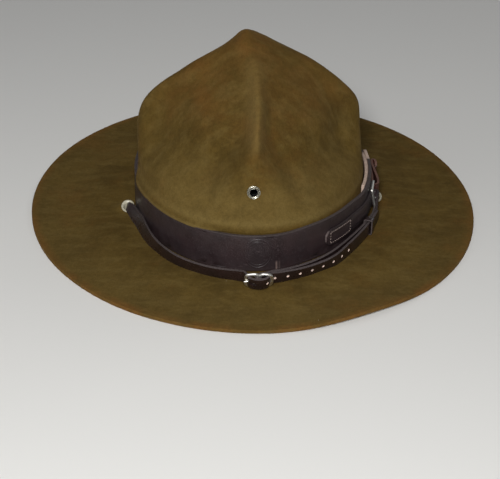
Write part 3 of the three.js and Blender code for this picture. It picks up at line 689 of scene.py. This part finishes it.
def courseFrame(course, distance):
    lengths, frames = course["lengths"], course["frames"]
    upper = min(len(lengths) - 1, max(1, bisect.bisect_right(lengths, distance)))
    a, b = frames[upper - 1], frames[upper]
    step = lengths[upper] - lengths[upper - 1]
    share = (distance - lengths[upper - 1]) / max(1e-6, step)
    t = clamped(share)
    point = a["point"].lerp(b["point"], t)
    point += a["forward"] * (share - t) * step     # straight on past either end
    wide = a["wide"].lerp(b["wide"], t).normalized()
    outward = a["outward"].lerp(b["outward"], t).normalized()
    return point, wide, outward, *(blendValue(a[key], b[key], t) for key in ("widthShare", "thickShare"))


def layAlong(piece, course, start=0.0):
    for vertex in piece.data.vertices:
        along, across, height = vertex.co
        point, wide, outward, widthShare, thickShare = courseFrame(course, start + along)
        vertex.co = point + wide * across * widthShare + outward * (height * thickShare)


def smoothStations(rows, steps):     # Catmull-Rom through given stations
    made = []
    for i in range(len(rows) - 1):
        a, b = rows[i], rows[i + 1]
        before, start, end, after = rows[max(0, i - 1)][0], a[0], b[0], rows[min(len(rows) - 1, i + 2)][0]
        for step in range(steps):
            t = step / steps
            point = 0.5 * (2 * start + (end - before) * t
                           + (2 * before - 5 * start + 4 * end - after) * t * t
                           + (3 * start - before - 3 * end + after) * t ** 3)
            made.append((point, a[1].lerp(b[1], t), blendValue(a[2], b[2], t), blendValue(a[3], b[3], t)))
    made.append(rows[-1])
    return made


def onOval(oval, degrees, out=0.0):     # an oval is its half width, its half length and its shift in X
    halfX, halfY, shiftX = oval
    angle = math.radians(degrees)
    point = Vector((shiftX + halfX * math.sin(angle), -halfY * math.cos(angle), 0))
    forward = Vector((halfX * math.cos(angle), halfY * math.sin(angle), 0)).normalized()
    outward = forward.cross(upward)
    return point + outward * out, forward, outward


def makeLeather(name, face, dark, rough, grain, marks=None):
    material, tree, sockets, place = newMaterial(
        name, Coat_Weight=0.25, Coat_Roughness=0.3, Specular_IOR_Level=0.5)
    pores = useGroup(tree, leatherGrain, place, Pore_Scale=grain)
    patches = useGroup(tree, softPatches, place, Patch_Scale=60.0)["Mask"]
    scratches = useGroup(tree, thinScratches, place, Mark_Scale=160.0)["Mask"]
    colour = mottled(tree, pores["Mottle"], dark, face)
    colour = tint(tree, colour, patches, 0.4, dark)
    pale = tuple(min(1, 2.6 * c + 0.02) for c in face[:3]) + (1,)
    colour = tint(tree, colour, scratches, 0.25, pale)
    if marks:
        colour = marks(tree, colour)
    connect(tree, sockets, Base_Color=colour)
    dullness = spread(tree, patches, 0.0, 1.0, rough, rough + 0.16)
    connect(tree, sockets, Roughness=plus(tree, dullness, times(tree, scratches, 0.1)))
    addBump(tree, sockets, pores["Height"], 0.00022, 0.55)
    return material


def makeCutEdge(name, edge, pale, paleSpans=()):     # spans along the strap where the edge is bare
    material, tree, sockets, place = newMaterial(name, Specular_IOR_Level=0.35)
    layers = noiseAt(tree, place, 850.0, 4.0, 0.65)
    colour = mottled(tree, layers, edge, shaded(edge, 0.55))
    wobble = times(tree, minus(tree, noiseAt(tree, place, 90.0), 0.5), 0.02)
    along = plus(tree, flatPlace(tree)[0], wobble)
    fading = 6     # millimetres over which a bare span begins and ends
    for low, high in paleSpans:
        inside = times(tree, spread(tree, along, low * mm, (low + fading) * mm),
                       spread(tree, along, (high - fading) * mm, high * mm, 1.0, 0.0))
        bare = mixColours(tree, spread(tree, layers, 0.35, 0.65), pale, shaded(pale, 0.7))
        colour = mixColours(tree, inside, colour, bare)
    connect(tree, sockets, Base_Color=colour)
    connect(tree, sockets, Roughness=spread(tree, layers, 0.2, 0.8, 0.45, 0.75))
    addBump(tree, sockets, layers, 0.0002, 0.5)
    return material


def makeFlesh(name, colour):     # the unfinished inner side of leather
    material, tree, sockets, place = newMaterial(name, Roughness=0.9, Specular_IOR_Level=0.2)
    fuzz = noiseAt(tree, place, 700.0, 5.0, 0.7)
    connect(tree, sockets, Base_Color=mottled(tree, fuzz, shaded(colour, 0.6), colour))
    addBump(tree, sockets, fuzz, 0.0003, 0.6)
    return material


# Hat band

band = {
    "width": 28.575, "thick": 2.4, "innerEnd": 69, "outerEnd": 101, "middleZ": 20.79,
    "creaseInset": 2.0, "creaseWidth": 0.8, "creaseDepth": 0.16, "edge": 0.55,
    "oval": (feltShape["crownHalfWidth"], feltShape["crownHalfLength"], feltShape["shiftX"]),
}

bandCourseRows = table("angle out", (69, 0.6), (412, 0.6), (427, 3.3), (456, 3.3), (461, 3.7))


def bandOut(angle):
    rows = bandCourseRows
    upper = next((i for i, row in enumerate(rows) if row["angle"] >= angle), len(rows) - 1)
    if upper == 0:
        return rows[0]["out"]
    a, b = rows[upper - 1], rows[upper]
    return blendValue(a["out"], b["out"], ease(angle, a["angle"], b["angle"]))


# The band rides higher on the side of its buckle
bandRise = table(
    "angle lift", (-180, 0), (-5, 0), (8, 0.3), (15, 0.8), (22, 2.0), (30, 2.6), (50, 2.6), (58, 2.2),
    (100, 1.9), (150, 0.2), (180, 0))


def bandStation(angle, out, height=None):
    point = onOval(band["oval"], angle, out)[0]
    lift = curveAt(bandRise, "angle", "lift", (angle + 180) % 360 - 180)
    point.z = band["middleZ"] + lift if height is None else height
    return point, upward.copy(), 1, 1


# One station every 1.5 degrees
bandCourse = makeCourse([bandStation(angle / 2, bandOut(angle / 2) + band["thick"] / 2)
                         for angle in range(2 * band["innerEnd"], 2 * (360 + band["outerEnd"]) + 1, 3)])
bandLength = bandCourse["lengths"][-1]


def bandDistance(angle):     # how far along the band lies a given angle round the hat
    lengths = bandCourse["lengths"]
    place = (angle - band["innerEnd"] + (360 if angle < band["innerEnd"] else 0)) / 1.5
    low = min(len(lengths) - 2, int(place))
    return blendValue(lengths[low], lengths[low + 1], place - low)


def bandMarks(tree, colour):     # two pale scuffs on the band's lower half, beside the front buckle
    axes = flatPlace(tree)
    high = times(tree, spread(tree, axes[1], -0.0142, -0.013),
                 spread(tree, axes[1], -0.0085, -0.006, 1.0, 0.0))
    for angle, share in ((9.3, 0.5), (10.6, 0.14)):
        away = maths(tree, 'ABSOLUTE', minus(tree, axes[0], bandDistance(angle) * mm))
        line = times(tree, spread(tree, away, 0.0003, 0.0009, 1.0, 0.0), high)
        colour = tint(tree, colour, line, share, (0.26, 0.18, 0.155, 1))
    return colour


def creasedRows(halfWidth, inset, width, depth, plain=6):
    # rows across a strap, with one crease line along each edge
    crease = ((inset - width / 2, 0), (inset, depth), (inset + width / 2, 0))
    side = [(1, 0)] + [(1 - away / halfWidth, dip) for away, dip in crease]
    inner = side[-1][0]
    middle = [(inner * (1 - 2 * i / plain), 0) for i in range(1, plain)]
    return [(-share, dip) for share, dip in side + middle] + side[::-1]


bandLeather = makeLeather(
    "bandLeather", (0.030, 0.0175, 0.0185, 1), (0.019, 0.011, 0.012, 1), 0.42, 1100.0, bandMarks)
bandFlesh = makeFlesh("bandFlesh", (0.50, 0.33, 0.25, 1))


def buildBand():
    rows = creasedRows(band["width"] / 2, band["creaseInset"], band["creaseWidth"], band["creaseDepth"], 8)
    columns = evenColumns(bandLength, band["width"] / 2, 3.0)
    piece = cutStrap("hat_band_leather", columns, rows, band["thick"], band["edge"])
    layAlong(piece, bandCourse)
    spans = [(-20, 58), (bandLength - 17, bandLength + 20)]
    edge = makeCutEdge("bandEdge", (0.075, 0.058, 0.055, 1), (0.56, 0.42, 0.34, 1), spans)
    finishPiece(piece, [bandLeather, edge, bandFlesh], "band_leather", "hat_band")


buildBand()


# Worn stamp on the band's front: a plain oval ring with a finer one inside

stampRing = {"angle": 0.9, "height": 0.2, "halfWide": 9.5, "halfTall": 11.4, "line": 0.55, "inner": 0.82}


def buildStampRing():
    parts = []
    for share, line in ((1, stampRing["line"]), (stampRing["inner"], stampRing["line"] * 0.6)):
        ring = newRing("stamp_line", 80, 10)
        for vertex in ring.data.vertices:
            x, y, z = vertex.co
            away = math.hypot(x, y)
            across = (away - 1) / ringThick * line
            vertex.co = (x / away * (stampRing["halfWide"] * share + across),
                         y / away * (stampRing["halfTall"] * share + across) + stampRing["height"],
                         z / ringThick * line * 0.55 + band["thick"] / 2 - line * 0.3)
        parts.append(ring)
    stamp = joinPieces("band_stamp_ring", parts)
    layAlong(stamp, bandCourse, bandDistance(stampRing["angle"]))
    finishPiece(stamp, [bandLeather], "band_leather")


buildStampRing()


# Chape: the short strap stitched to the band's front end, round the buckle's bar

chape = {
    "startAngle": 34, "endAngle": 73, "width": 12.7, "thick": 1.7, "gap": 0.3, "edge": 0.45,
    "middleZ": 22.1, "stitchLength": 1.3, "stitchGap": 0.8, "stitchInset": 1.9, "stitchedLength": 27,
    "thread": 0.33,
}
bandBuckle = {"angle": 78, "out": 9.45, "length": 17, "height": 16.2, "wire": 1.0, "lean": 13}


def bandFaceOut(angle):
    return bandOut(angle + 360 if angle < band["outerEnd"] else angle) + band["thick"]


def bandBuckleFrame():
    point, forward, outward = onOval(band["oval"], bandBuckle["angle"], bandBuckle["out"])
    point.z = chape["middleZ"]
    return point, forward, outward


def chapeStations():
    lie = chape["gap"] + chape["thick"] / 2
    stations = [bandStation(angle, bandFaceOut(angle) + lie, chape["middleZ"])
                for angle in range(chape["startAngle"], chape["endAngle"], 2)]
    centre, forward, outward = bandBuckleFrame()
    reach = bandBuckle["wire"] * 1.414 + lie
    heel = centre - forward * (bandBuckle["length"] / 2 - bandBuckle["wire"])
    folded = []
    for turn in range(-90, 91, 15):     # round the bar
        angle = math.radians(turn)
        folded.append(heel + forward * reach * math.cos(angle) + outward * reach * math.sin(angle))
    folded += [heel - forward * back + outward * (reach - back * 0.04) for back in (4, 8)]
    return stations + [(point, upward.copy(), 1, 1) for point in folded]


def makeThread():
    material, tree, sockets, place = newMaterial("waxedThread", Roughness=0.6)
    twist = noiseAt(tree, place, 1500.0, 2.0)
    colour = mottled(tree, twist, (0.2, 0.15, 0.13, 1), (0.42, 0.32, 0.28, 1))
    connect(tree, sockets, Base_Color=colour)
    addBump(tree, sockets, twist, 0.0002, 0.5)
    return material


def sewLine(points, course, height):     # one stitch is modelled and copied along the flat line
    first = newShape("stitch", bpy.ops.mesh.primitive_uv_sphere_add, segments=8, ring_count=6, radius=1)
    thread = chape["thread"]
    first.data.transform(Matrix.Diagonal((chape["stitchLength"] / 2, thread, thread * 0.8, 1)))
    stitches = []
    pitch = chape["stitchLength"] + chape["stitchGap"]
    for a, b in zip(points, points[1:]):
        line = Vector(b) - Vector(a)
        count = max(1, round(line.length / pitch))
        turn = Matrix.Rotation(math.atan2(line.y, line.x), 4, 'Z')
        for i in range(count):
            stitch = first.copy()
            stitch.data = first.data.copy()
            bpy.context.collection.objects.link(stitch)
            middle = Vector(a) + line * ((i + 0.5) / count)
            stitch.data.transform(Matrix.Translation((middle.x, middle.y, height)) @ turn)
            stitches.append(stitch)
    bpy.data.objects.remove(first)
    sewn = joinPieces("chape_stitches", stitches)
    layAlong(sewn, course)
    return sewn


def buildChape():
    course = makeCourse(smoothStations(chapeStations(), 2))
    half = chape["width"] / 2
    rows = creasedRows(half, 0.9, 0.4, 0.06, 4)
    columns = evenColumns(course["lengths"][-1], half, 1.6, roundStart=half * 0.8)
    piece = cutStrap("chape_leather", columns, rows, chape["thick"], chape["edge"])
    layAlong(piece, course)
    edge = makeCutEdge("chapeEdge", (0.036, 0.026, 0.026, 1), (0.16, 0.12, 0.115, 1), [(-9, 5)])
    finishPiece(piece, [bandLeather, edge, bandLeather], "band_leather", "band_chape")
    inset = half - chape["stitchInset"]
    near, far = chape["stitchInset"] + 2.4, chape["stitchInset"] + chape["stitchedLength"]
    corners = [(near, -inset), (far, -inset), (far, inset), (near, inset), (near, -inset)]
    sewn = sewLine(corners, course, chape["thick"] / 2)
    finishPiece(sewn, [makeThread()], "band_leather")


buildChape()


# Wire frames for both buckles

def roundedLoop(corners, count):
    # corners are (x, y, radius); gives evenly spaced places and the directions out from them
    trail = []
    size = len(corners)
    for i in range(size):
        before, here, after = (Vector(corners[(i + k) % size][:2]) for k in (-1, 0, 1))
        radius = corners[i][2]
        inward, onward = (here - before).normalized(), (after - here).normalized()
        turn = inward.angle_signed(onward)
        cut = radius * math.tan(abs(turn) / 2)
        start, end = here - inward * cut, here + onward * cut
        for step in range(9):
            t = step / 8
            trail.append((start * (1 - t) + here * t) * (1 - t) + (here * (1 - t) + end * t) * t)
    trail.append(trail[0])
    lengths = [0.0]
    for a, b in zip(trail, trail[1:]):
        lengths.append(lengths[-1] + (b - a).length)
    places = []
    for i in range(count):
        target = lengths[-1] * i / count
        upper = min(len(trail) - 1, max(1, bisect.bisect_right(lengths, target)))
        t = (target - lengths[upper - 1]) / max(1e-9, lengths[upper] - lengths[upper - 1])
        places.append(trail[upper - 1].lerp(trail[upper], t))
    normals = []
    for i in range(count):
        along = places[(i + 1) % count] - places[i - 1]
        normals.append(Vector((along.y, -along.x)).normalized())
    return places, normals


def bendWire(name, corners, wire, flat, count=120):     # a torus whose ring is pushed onto the loop
    piece = newRing(name, count, 12)
    places, normals = roundedLoop(corners, count)
    for vertex in piece.data.vertices:
        step = round(math.atan2(vertex.co.y, vertex.co.x) / math.tau * count) % count
        out = (math.hypot(vertex.co.x, vertex.co.y) - 1) / ringThick * wire
        place = places[step] + normals[step] * out
        vertex.co = (place.x, place.y, vertex.co.z / ringThick * wire * flat)
    recalculate(piece)
    return piece


def barPiece(length, radius, endRadius=None):     # a round bar along X with softened ends
    turn = (0, math.pi / 2, 0)
    add = bpy.ops.mesh.primitive_cylinder_add
    bar = newShape("bar", add, vertices=14, radius=radius, depth=length, rotation=turn)
    bpy.ops.object.transform_apply(location=True, rotation=True, scale=True)
    softenEdges(bar, radius * 0.55, 50)
    applyModifiers(bar)
    if endRadius:
        for vertex in bar.data.vertices:
            share = blendValue(1, endRadius / radius, vertex.co.x / length + 0.5)
            vertex.co.y *= share
            vertex.co.z *= share
    return bar


def wireHalves(buckle):     # half the length and half the height, to the middle of the wire
    return buckle["length"] / 2 - buckle["wire"], buckle["height"] / 2 - buckle["wire"]


def buildBandBuckle():
    half, tall = wireHalves(bandBuckle)
    corners = [(-half, -tall, 1.6), (half, -tall, 2.6), (half, tall, 2.6), (-half, tall, 1.6)]
    loop = bendWire("band_buckle_wire", corners, bandBuckle["wire"] * 1.4, 0.85)
    length = bandBuckle["length"] - 1.2
    tongue = barPiece(length, 0.72, 0.5)
    for vertex in tongue.data.vertices:     # from the bar over the strap to the far end of the frame
        share = vertex.co.x / length + 0.5
        vertex.co.z += 1.2 + 1.5 * math.sin(math.pi * share)
        vertex.co.x += 0.4
    piece = joinPieces("band_buckle_wire", [loop, tongue])
    centre, forward, outward = bandBuckleFrame()
    lean = math.radians(bandBuckle["lean"])     # the strap's pull tips the top inwards
    up = upward * math.cos(lean) - outward * math.sin(lean)
    placeMesh(piece, centre - outward * 0.6, forward, up, forward.cross(up))
    finishPiece(piece, [nickel], "nickel", "band_buckle", angle=60)


buildBandBuckle()


# Billet from the band's back end, through the buckle and turned back with a curled tail

billetRows = table(
    "angle out",
    (134, 4.2), (122, 4.2), (110, 4.4), (104, 6.2), (100, 7.4), (94, 7.0), (87, 6.9), (82.5, 6.9),
    (80.7, 7.4), (79.8, 9.1), (80.7, 10.9), (82.5, 11.3), (86, 10.8), (90, 9.9), (94, 9.4), (97, 9.5),
    (99.4, 10.1), (100.5, 11.4), (99.9, 12.8), (98.3, 13.2), (96.9, 12.4), (97.1, 11.2))

billetLeather = makeLeather(
    "billetLeather", (0.085, 0.026, 0.019, 1), (0.035, 0.013, 0.011, 1), 0.3, 900.0)
billetEdge = makeCutEdge("billetEdge", (0.16, 0.08, 0.06, 1), (0.2, 0.1, 0.08, 1))


def buildBillet():
    stations = [bandStation(row["angle"], row["out"], chape["middleZ"]) for row in billetRows]
    course = makeCourse(smoothStations(stations, 6))
    half = chape["width"] / 2
    rows = creasedRows(half, 0.9, 0.4, 0.14, 4)
    columns = evenColumns(course["lengths"][-1], half, 1.5, roundStart=half, roundEnd=half)
    piece = cutStrap("billet_leather", columns, rows, chape["thick"], chape["edge"])
    layAlong(piece, course)
    finishPiece(piece, [billetLeather, billetEdge, billetLeather], "billet_leather", "band_billet")


buildBillet()


# Chin strap

strap = {
    "width": 9.5, "thick": 1.8, "edge": 0.42, "gap": 0.3, "brimTop": 5.7, "tipRound": 5.2,
    "oval": (96, 123.5, -0.5), "lane": (79.6, 102, -2),
    "holes": 9, "firstHole": 10.4, "holePitch": 9.85, "holeRadius": 1.05, "holeDepth": 0.26,
    "tongueSlot": (5.2, 2.4, 8), "foldSlot": (6.4, 2.4, 8), "foldSlotAt": 6.2,
}
keeper = {"angle": 63, "length": 6, "thick": 1.1, "edge": 0.3, "pinch": 2, "lift": 1.8}
strapBuckle = {"length": 20, "height": 13.4, "wire": 1.2, "out": 9.4, "notch": 2.2, "lean": 18}

# Lower edge of the strap: degrees round the hat, distance out, lift, and degrees it leans outward
strapColumns = "angle out lift lean"
attachedRows = table(
    strapColumns,
    (5.2, 2.4, 2, 15), (8, 1.8, 1.8, 15), (12, 0.1, 1.5, 16), (16, -1.2, 1.4, 17), (22, -2.3, 1.4, 17),
    (29, -2.9, 1.5, 14), (36, -2.9, 1.5, 6), (43, -3.4, 1.5, 0), (52, -3.6, 1.7, 0), (63, -2.1, 1.8, 0),
    (71, -1.2, 0.3, 0))
leftRows = table(
    strapColumns,
    (-68, -1.0, 0.8, -27), (-62, -0.5, 0.6, -22), (-54, 0.6, 0.4, -11), (-49.5, 0.6, 0.3, -1),
    (-44, 1.4, 0.3, 3), (-35, 1.6, 0.5, 13), (-27, 0.9, 0.6, 18), (-19, 0.6, 0.6, 18), (-11, 0.5, 0.9, 16),
    (-6.5, 2.4, 1.6, 13))
billetFrontRows = table(
    strapColumns,
    (-6.5, 2.4, 1.6, 15), (-5.3, 3.8, 1.8, 16), (-4.3, 7.2, 2, 16), (-3.3, 10.4, 2, 17), (-2, 12.2, 2, 18),
    (-0.2, 12.8, 2, 18), (1.6, 12.2, 2, 18), (2.9, 10.4, 2, 17), (3.9, 7.2, 2, 16), (4.9, 5, 2, 15),
    (8, 4.1, 1.7, 15), (12, 2.7, 1.4, 17), (16, 1.8, 1.1, 18), (22, 1.1, 0.9, 18), (29, 0.7, 0.9, 17),
    (32, 1, 0.8, 12), (36, 1.3, 0.7, 5), (43, -0.2, 0.8, 0), (52, -0.9, 1.3, 0), (63, 0.1, 1.8, 0),
    (69, 0.9, 1.3, 0), (73.5, 1.7, 0.9, 0))


def strapStation(row):
    foot, _, outward = onOval(strap["oval"], row["angle"], row["out"])
    lean = math.radians(row["lean"])
    wide = upward * math.cos(lean) + outward * math.sin(lean)
    foot.z = strap["brimTop"] + row["lift"]
    return foot + wide * strap["width"] / 2, wide, 1, 1


def fanRows(rows, step):
    count = max(1, round((rows[-1]["angle"] - rows[0]["angle"]) / step))
    made = []
    for i in range(count + 1):
        angle = blendValue(rows[0]["angle"], rows[-1]["angle"], i / count)
        row = {key: curveAt(rows, "angle", key, angle) for key in ("out", "lift", "lean")}
        made.append(strapStation({"angle": angle, **row}))
    return made


def throughEyelet(place, side):
    # from the front down through the eyelet, under the brim and up on edge inside; the left end leans over
    x, y = place
    laneX = strap["lane"][2] + side * strap["lane"][0] * 0.99
    tip, inner, high, wide = (0, 0.12, 9.7, 7.8) if side > 0 else (-0.5, 0.42, 10.1, 9.3)
    rows = table(
        "inward dy z w t wide",
        (inner, -17, high, wide, 1.8, (tip, 0.05, 0.9)),
        (inner * 0.55, -9, high + 0.2, wide - 0.6, 1.8, (tip, 0.1, 0.85)),
        (inner * 0.2, -4.6, high + 0.5, wide - 2, 1.8, (tip, 0.3, 0.85)),
        (0, -1.4, 10, 5.6, 1.8, (tip / 2, 0.7, 0.7)),
        (0, 0.2, 6.6, 4.4, 1.8, (0, 1, 0.1)),
        (0, 0.2, 3.2, 4.4, 1.8, (0, 1, 0)),
        (0.06, 0.3, 1.1, 4.4, 1.2, (0, 1, 0)),
        (0.22, 0.6, 0.9, 5.6, 1.2, (0, 1, 0)),
        (0.6, 2, 1, 6.4, 1.5, (0.1, 1, 0)),
        (0.84, 5, 1.2, 6.4, 1.5, (0.3, 1, 0.1)),
        (1, 11, 3.6, 6.4, 1.6, (0.2, 0.3, 0.9)),
        (1, 19, 4.9, 8.6, 1.8, (0, 0, 1)))
    return [(Vector((blendValue(x, laneX, row["inward"]), y + row["dy"], row["z"])),
             Vector((side * row["wide"][0], row["wide"][1], row["wide"][2])).normalized(),
             row["w"] / strap["width"], row["t"] / strap["thick"]) for row in rows]


def insideStations():
    made = []
    for angle in range(111, 253, 7):
        point = onOval(strap["lane"], angle)[0]
        point.z = 0.4 + strap["width"] / 2
        made.append((point, upward.copy(), 1, 1))
    return made


def buckleFrame():     # centre of the buckle, its upward and its outward direction
    lean = math.radians(strapBuckle["lean"])
    up = Vector((0, -math.sin(lean), math.cos(lean)))
    outward = Vector((0, -math.cos(lean), -math.sin(lean)))
    _, halfY, shiftX = strap["oval"]
    height = strap["brimTop"] + 0.3 + strapBuckle["height"] / 2
    centre = Vector((shiftX, -halfY - strapBuckle["out"], height))
    return centre, up, outward


def foldStations():     # the attached end goes round the buckle's middle bar
    reach = strapBuckle["wire"] + strap["gap"] + strap["thick"] / 2
    centre, up, outward = buckleFrame()
    narrow = 7.2 / strap["width"]
    turns = [(centre + Vector((2.7, 0, 0)) + outward * reach, up, narrow, 1)]
    for turn in range(270, 89, -30):
        angle = math.radians(turn)
        place = centre + Vector((reach * math.cos(angle), 0, 0)) - outward * reach * math.sin(angle)
        turns.append((place, up, narrow, 1))
    turns.append((centre + Vector((4.1, 0, 0)) - outward * (reach + 0.7), up, 7.8 / strap["width"], 1))
    return turns


def buildStrapCourse():
    front = [*foldStations(), *fanRows(attachedRows, 5)]
    right = throughEyelet(eyelets["rightPlace"], 1)
    left = throughEyelet(eyelets["leftPlace"], -1)
    loop = [*front, *right, *insideStations(), *reversed(left), *fanRows(leftRows, 5)]
    billet = [strapStation(row) for row in billetFrontRows[1:]]
    steps = 5
    course = makeCourse(smoothStations(loop + billet, steps))
    return course, course["lengths"][(len(loop) - 1) * steps]


strapCourse, billetStart = buildStrapCourse()
strapLength = strapCourse["lengths"][-1]
print(f"chin strap: {strapLength:.0f} mm round the whole loop")

strapLeather = makeLeather(
    "strapLeather", (0.024, 0.0125, 0.0115, 1), (0.013, 0.007, 0.007, 1), 0.24, 1000.0)
strapEdge = makeCutEdge("strapEdge", (0.085, 0.066, 0.064, 1), (0.3, 0.2, 0.16, 1))
# raw leather inside the punched holes, partly its own pale colour and partly a painted highlight of the
# light on the hole walls
holeWallAndPaintedHighlight = makeFlesh("holeWallAndPaintedHighlight", (1.0, 0.80, 0.70, 1))


def tongueDistance():     # where the tongue comes up through the billet
    frames = strapCourse["frames"]
    for i, length in enumerate(strapCourse["lengths"]):
        if length > billetStart and frames[i]["point"].x > -5.4:
            return length


def paintHoles(piece, places):     # the faces inside each punched hole take the last slot: pale raw leather made paler still as a painted highlight
    piece.data.materials.append(holeWallAndPaintedHighlight)
    reach, face = strap["holeRadius"] + 0.02, strap["thick"] / 2
    for polygon in piece.data.polygons:
        x, y, z = polygon.center
        if abs(y) < reach and 0 < z < face - 0.02 and any(abs(x - along) < reach for along in places):
            polygon.material_index = 3


def makeCutter(kind, place, size):
    if kind == "round":
        cutter = newShape("punch", bpy.ops.mesh.primitive_cylinder_add, vertices=22, radius=1, depth=1)
    else:
        cutter = newShape("punch", bpy.ops.mesh.primitive_cube_add, size=1)
    cutter.data.transform(Matrix.Translation(place) @ Matrix.Diagonal((*size, 1)))
    return cutter


def buildChinStrap():
    half = strap["width"] / 2
    rows = creasedRows(half, 1.0, 0.4, 0.13, 4)
    columns = evenColumns(strapLength, half, 2.2, roundEnd=strap["tipRound"])
    piece = cutStrap("chin_strap_leather", columns, rows, strap["thick"], strap["edge"])
    firstAt = tongueDistance()
    holes = [firstAt + strap["firstHole"] + hole * strap["holePitch"] for hole in range(strap["holes"])]
    size = (strap["holeRadius"], strap["holeRadius"], strap["holeDepth"] * 2)
    cutters = [makeCutter("round", (along, 0, strap["thick"] / 2), size) for along in holes]
    cutters.append(makeCutter("slot", (firstAt, 0, 0), strap["tongueSlot"]))
    cutters.append(makeCutter("slot", (strap["foldSlotAt"], 0, 0), strap["foldSlot"]))
    cutWith(piece, [joinPieces("strap_punches", cutters)])
    paintHoles(piece, holes)
    layAlong(piece, strapCourse)
    materials = [strapLeather, strapEdge, strapLeather, holeWallAndPaintedHighlight]
    finishPiece(piece, materials, "strap_leather", "chin_strap")


buildChinStrap()


# Keeper, the sliding loop over both layers

def buildKeeper():
    half = strap["thick"] + strap["gap"] * 2 + keeper["thick"] / 2
    tall = (strap["width"] + strap["gap"] * 3 + keeper["thick"]) / 2
    corners = [(-half, -tall, 1.2), (half, -tall, 1.2), (half, tall, 1.2), (-half, tall, 1.2)]
    sides = 48
    places = roundedLoop(corners, sides)[0]
    loop = newShape("keeper_loop", bpy.ops.mesh.primitive_cylinder_add, vertices=sides, radius=1,
                    depth=keeper["length"], end_fill_type='NOTHING')
    for vertex in loop.data.vertices:
        step = round(math.atan2(vertex.co.y, vertex.co.x) / math.tau * sides) % sides
        vertex.co = (places[step].x, places[step].y, vertex.co.z)
    thicken(loop, keeper["thick"], keeper["edge"])
    out = (strap["thick"] + strap["gap"]) / 2 - keeper["pinch"]     # midway between the two layers
    place, forward, outward = onOval(strap["oval"], keeper["angle"], out)
    place.z = strap["brimTop"] + keeper["lift"] + strap["width"] / 2
    placeMesh(loop, place, outward, upward, -forward)
    finishPiece(loop, [strapLeather, strapEdge, strapLeather], "strap_leather", "strap_keeper")


buildKeeper()


# Chin strap buckle and tongue

def buildStrapBuckle():
    half, tall = wireHalves(strapBuckle)
    notch = strapBuckle["notch"]
    lower = [(-half, -tall, 2.2), (-notch, -tall - 0.1, 1.2), (0, -tall + notch * 0.8, 0.8),
             (notch, -tall - 0.1, 1.2), (half, -tall, 4.2)]
    corners = lower + [(x, -y, radius) for x, y, radius in reversed(lower)]
    loop = bendWire("strap_buckle_frame", corners, strapBuckle["wire"] * 1.15, 0.8, 160)
    bar = barPiece(2 * (tall - notch * 0.8) + 1.2, strapBuckle["wire"] * 0.9)
    bar.data.transform(Matrix.Rotation(math.pi / 2, 4, 'Z'))
    piece = joinPieces("strap_buckle_frame", [loop, bar])
    centre, up, outward = buckleFrame()
    placeMesh(piece, centre, (1, 0, 0), up, outward)
    finishPiece(piece, [nickel], "nickel", "strap_buckle", angle=60)


def buildTongue():
    eye = newRing("eye", 32, 12, strapBuckle["wire"] + 0.85, 0.6)
    length = 9.4
    arm = barPiece(length, 0.72, 0.55)
    arm.data.transform(Matrix.Rotation(math.pi, 4, 'Z'))
    arm.data.transform(Matrix.Translation((-6.2, -0.5, 0)))
    for vertex in arm.data.vertices:     # it bows over the billet and its tip comes down on the left bar
        share = clamped((-vertex.co.x - 1.5) / length)
        vertex.co.y += -1.1 * math.sin(math.pi * share) - 1.1 * share
    piece = joinPieces("strap_tongue", [eye, arm])
    centre, up, outward = buckleFrame()
    placeMesh(piece, centre, (1, 0, 0), -outward, up)
    finishPiece(piece, [nickel], "nickel", "strap_buckle_tongue", angle=60)


buildStrapBuckle()
buildTongue()


# Floor, light and camera

# Metres, because the stage is not scaled
stage = {"floorSize": 30, "floorColour": (0.78, 0.77, 0.74, 1),
         "airColour": (0.92, 0.95, 1.0, 1), "airStrength": 0.11, "aimHeight": 0.05}
lights = table(
    "name place size power", ("keyLight", (-0.12, -1.2, 0.82), 0.3, 18),
    ("fillLight", (-1.5, -0.5, 1.0), 1.0, 2.5), ("backLight", (1.2, 1.2, 1.1), 1.0, 2.5))


def buildStage():
    floor = newShape("floor", bpy.ops.mesh.primitive_plane_add, size=stage["floorSize"])
    pale = newMaterial("paleFloor", Base_Color=stage["floorColour"], Roughness=0.9, Specular_IOR_Level=0.2)
    floor.data.materials.append(pale[0])
    world = bpy.data.worlds.new("air")
    world.use_nodes = True
    air = world.node_tree.nodes["Background"].inputs
    air["Color"].default_value = stage["airColour"]
    air["Strength"].default_value = stage["airStrength"]
    bpy.context.scene.world = world
    for light in lights:
        place = light["place"]
        lamp = newShape(light["name"], bpy.ops.object.light_add, type='AREA', location=place)
        lamp.data.shape = 'DISK'
        lamp.data.size = light["size"]
        lamp.data.energy = light["power"]
        aim = Vector((0, 0, stage["aimHeight"])) - Vector(place)
        lamp.rotation_euler = aim.to_track_quat('-Z', 'Y').to_euler()


view = {"place": (-46.98, -1020.78, 562.86), "right": (0.99926, -0.033425, 0.019026),
        "up": (0.000395, 0.503593, 0.863941), "lens": 108}


def buildCamera():
    camera = newShape("camera", bpy.ops.object.camera_add)
    right, up = Vector(view["right"]).normalized(), Vector(view["up"]).normalized()
    back = right.cross(up).normalized()
    turn = Matrix((right, up, back)).transposed().to_4x4()
    camera.matrix_world = Matrix.Translation(Vector(view["place"]) * mm) @ turn
    camera.data.lens = view["lens"]
    camera.data.sensor_width = 36
    camera.data.clip_start = 0.01
    bpy.context.scene.camera = camera


buildStage()
buildCamera()
bpy.context.scene.view_settings.view_transform = 'Standard'
print("stage and camera ready")
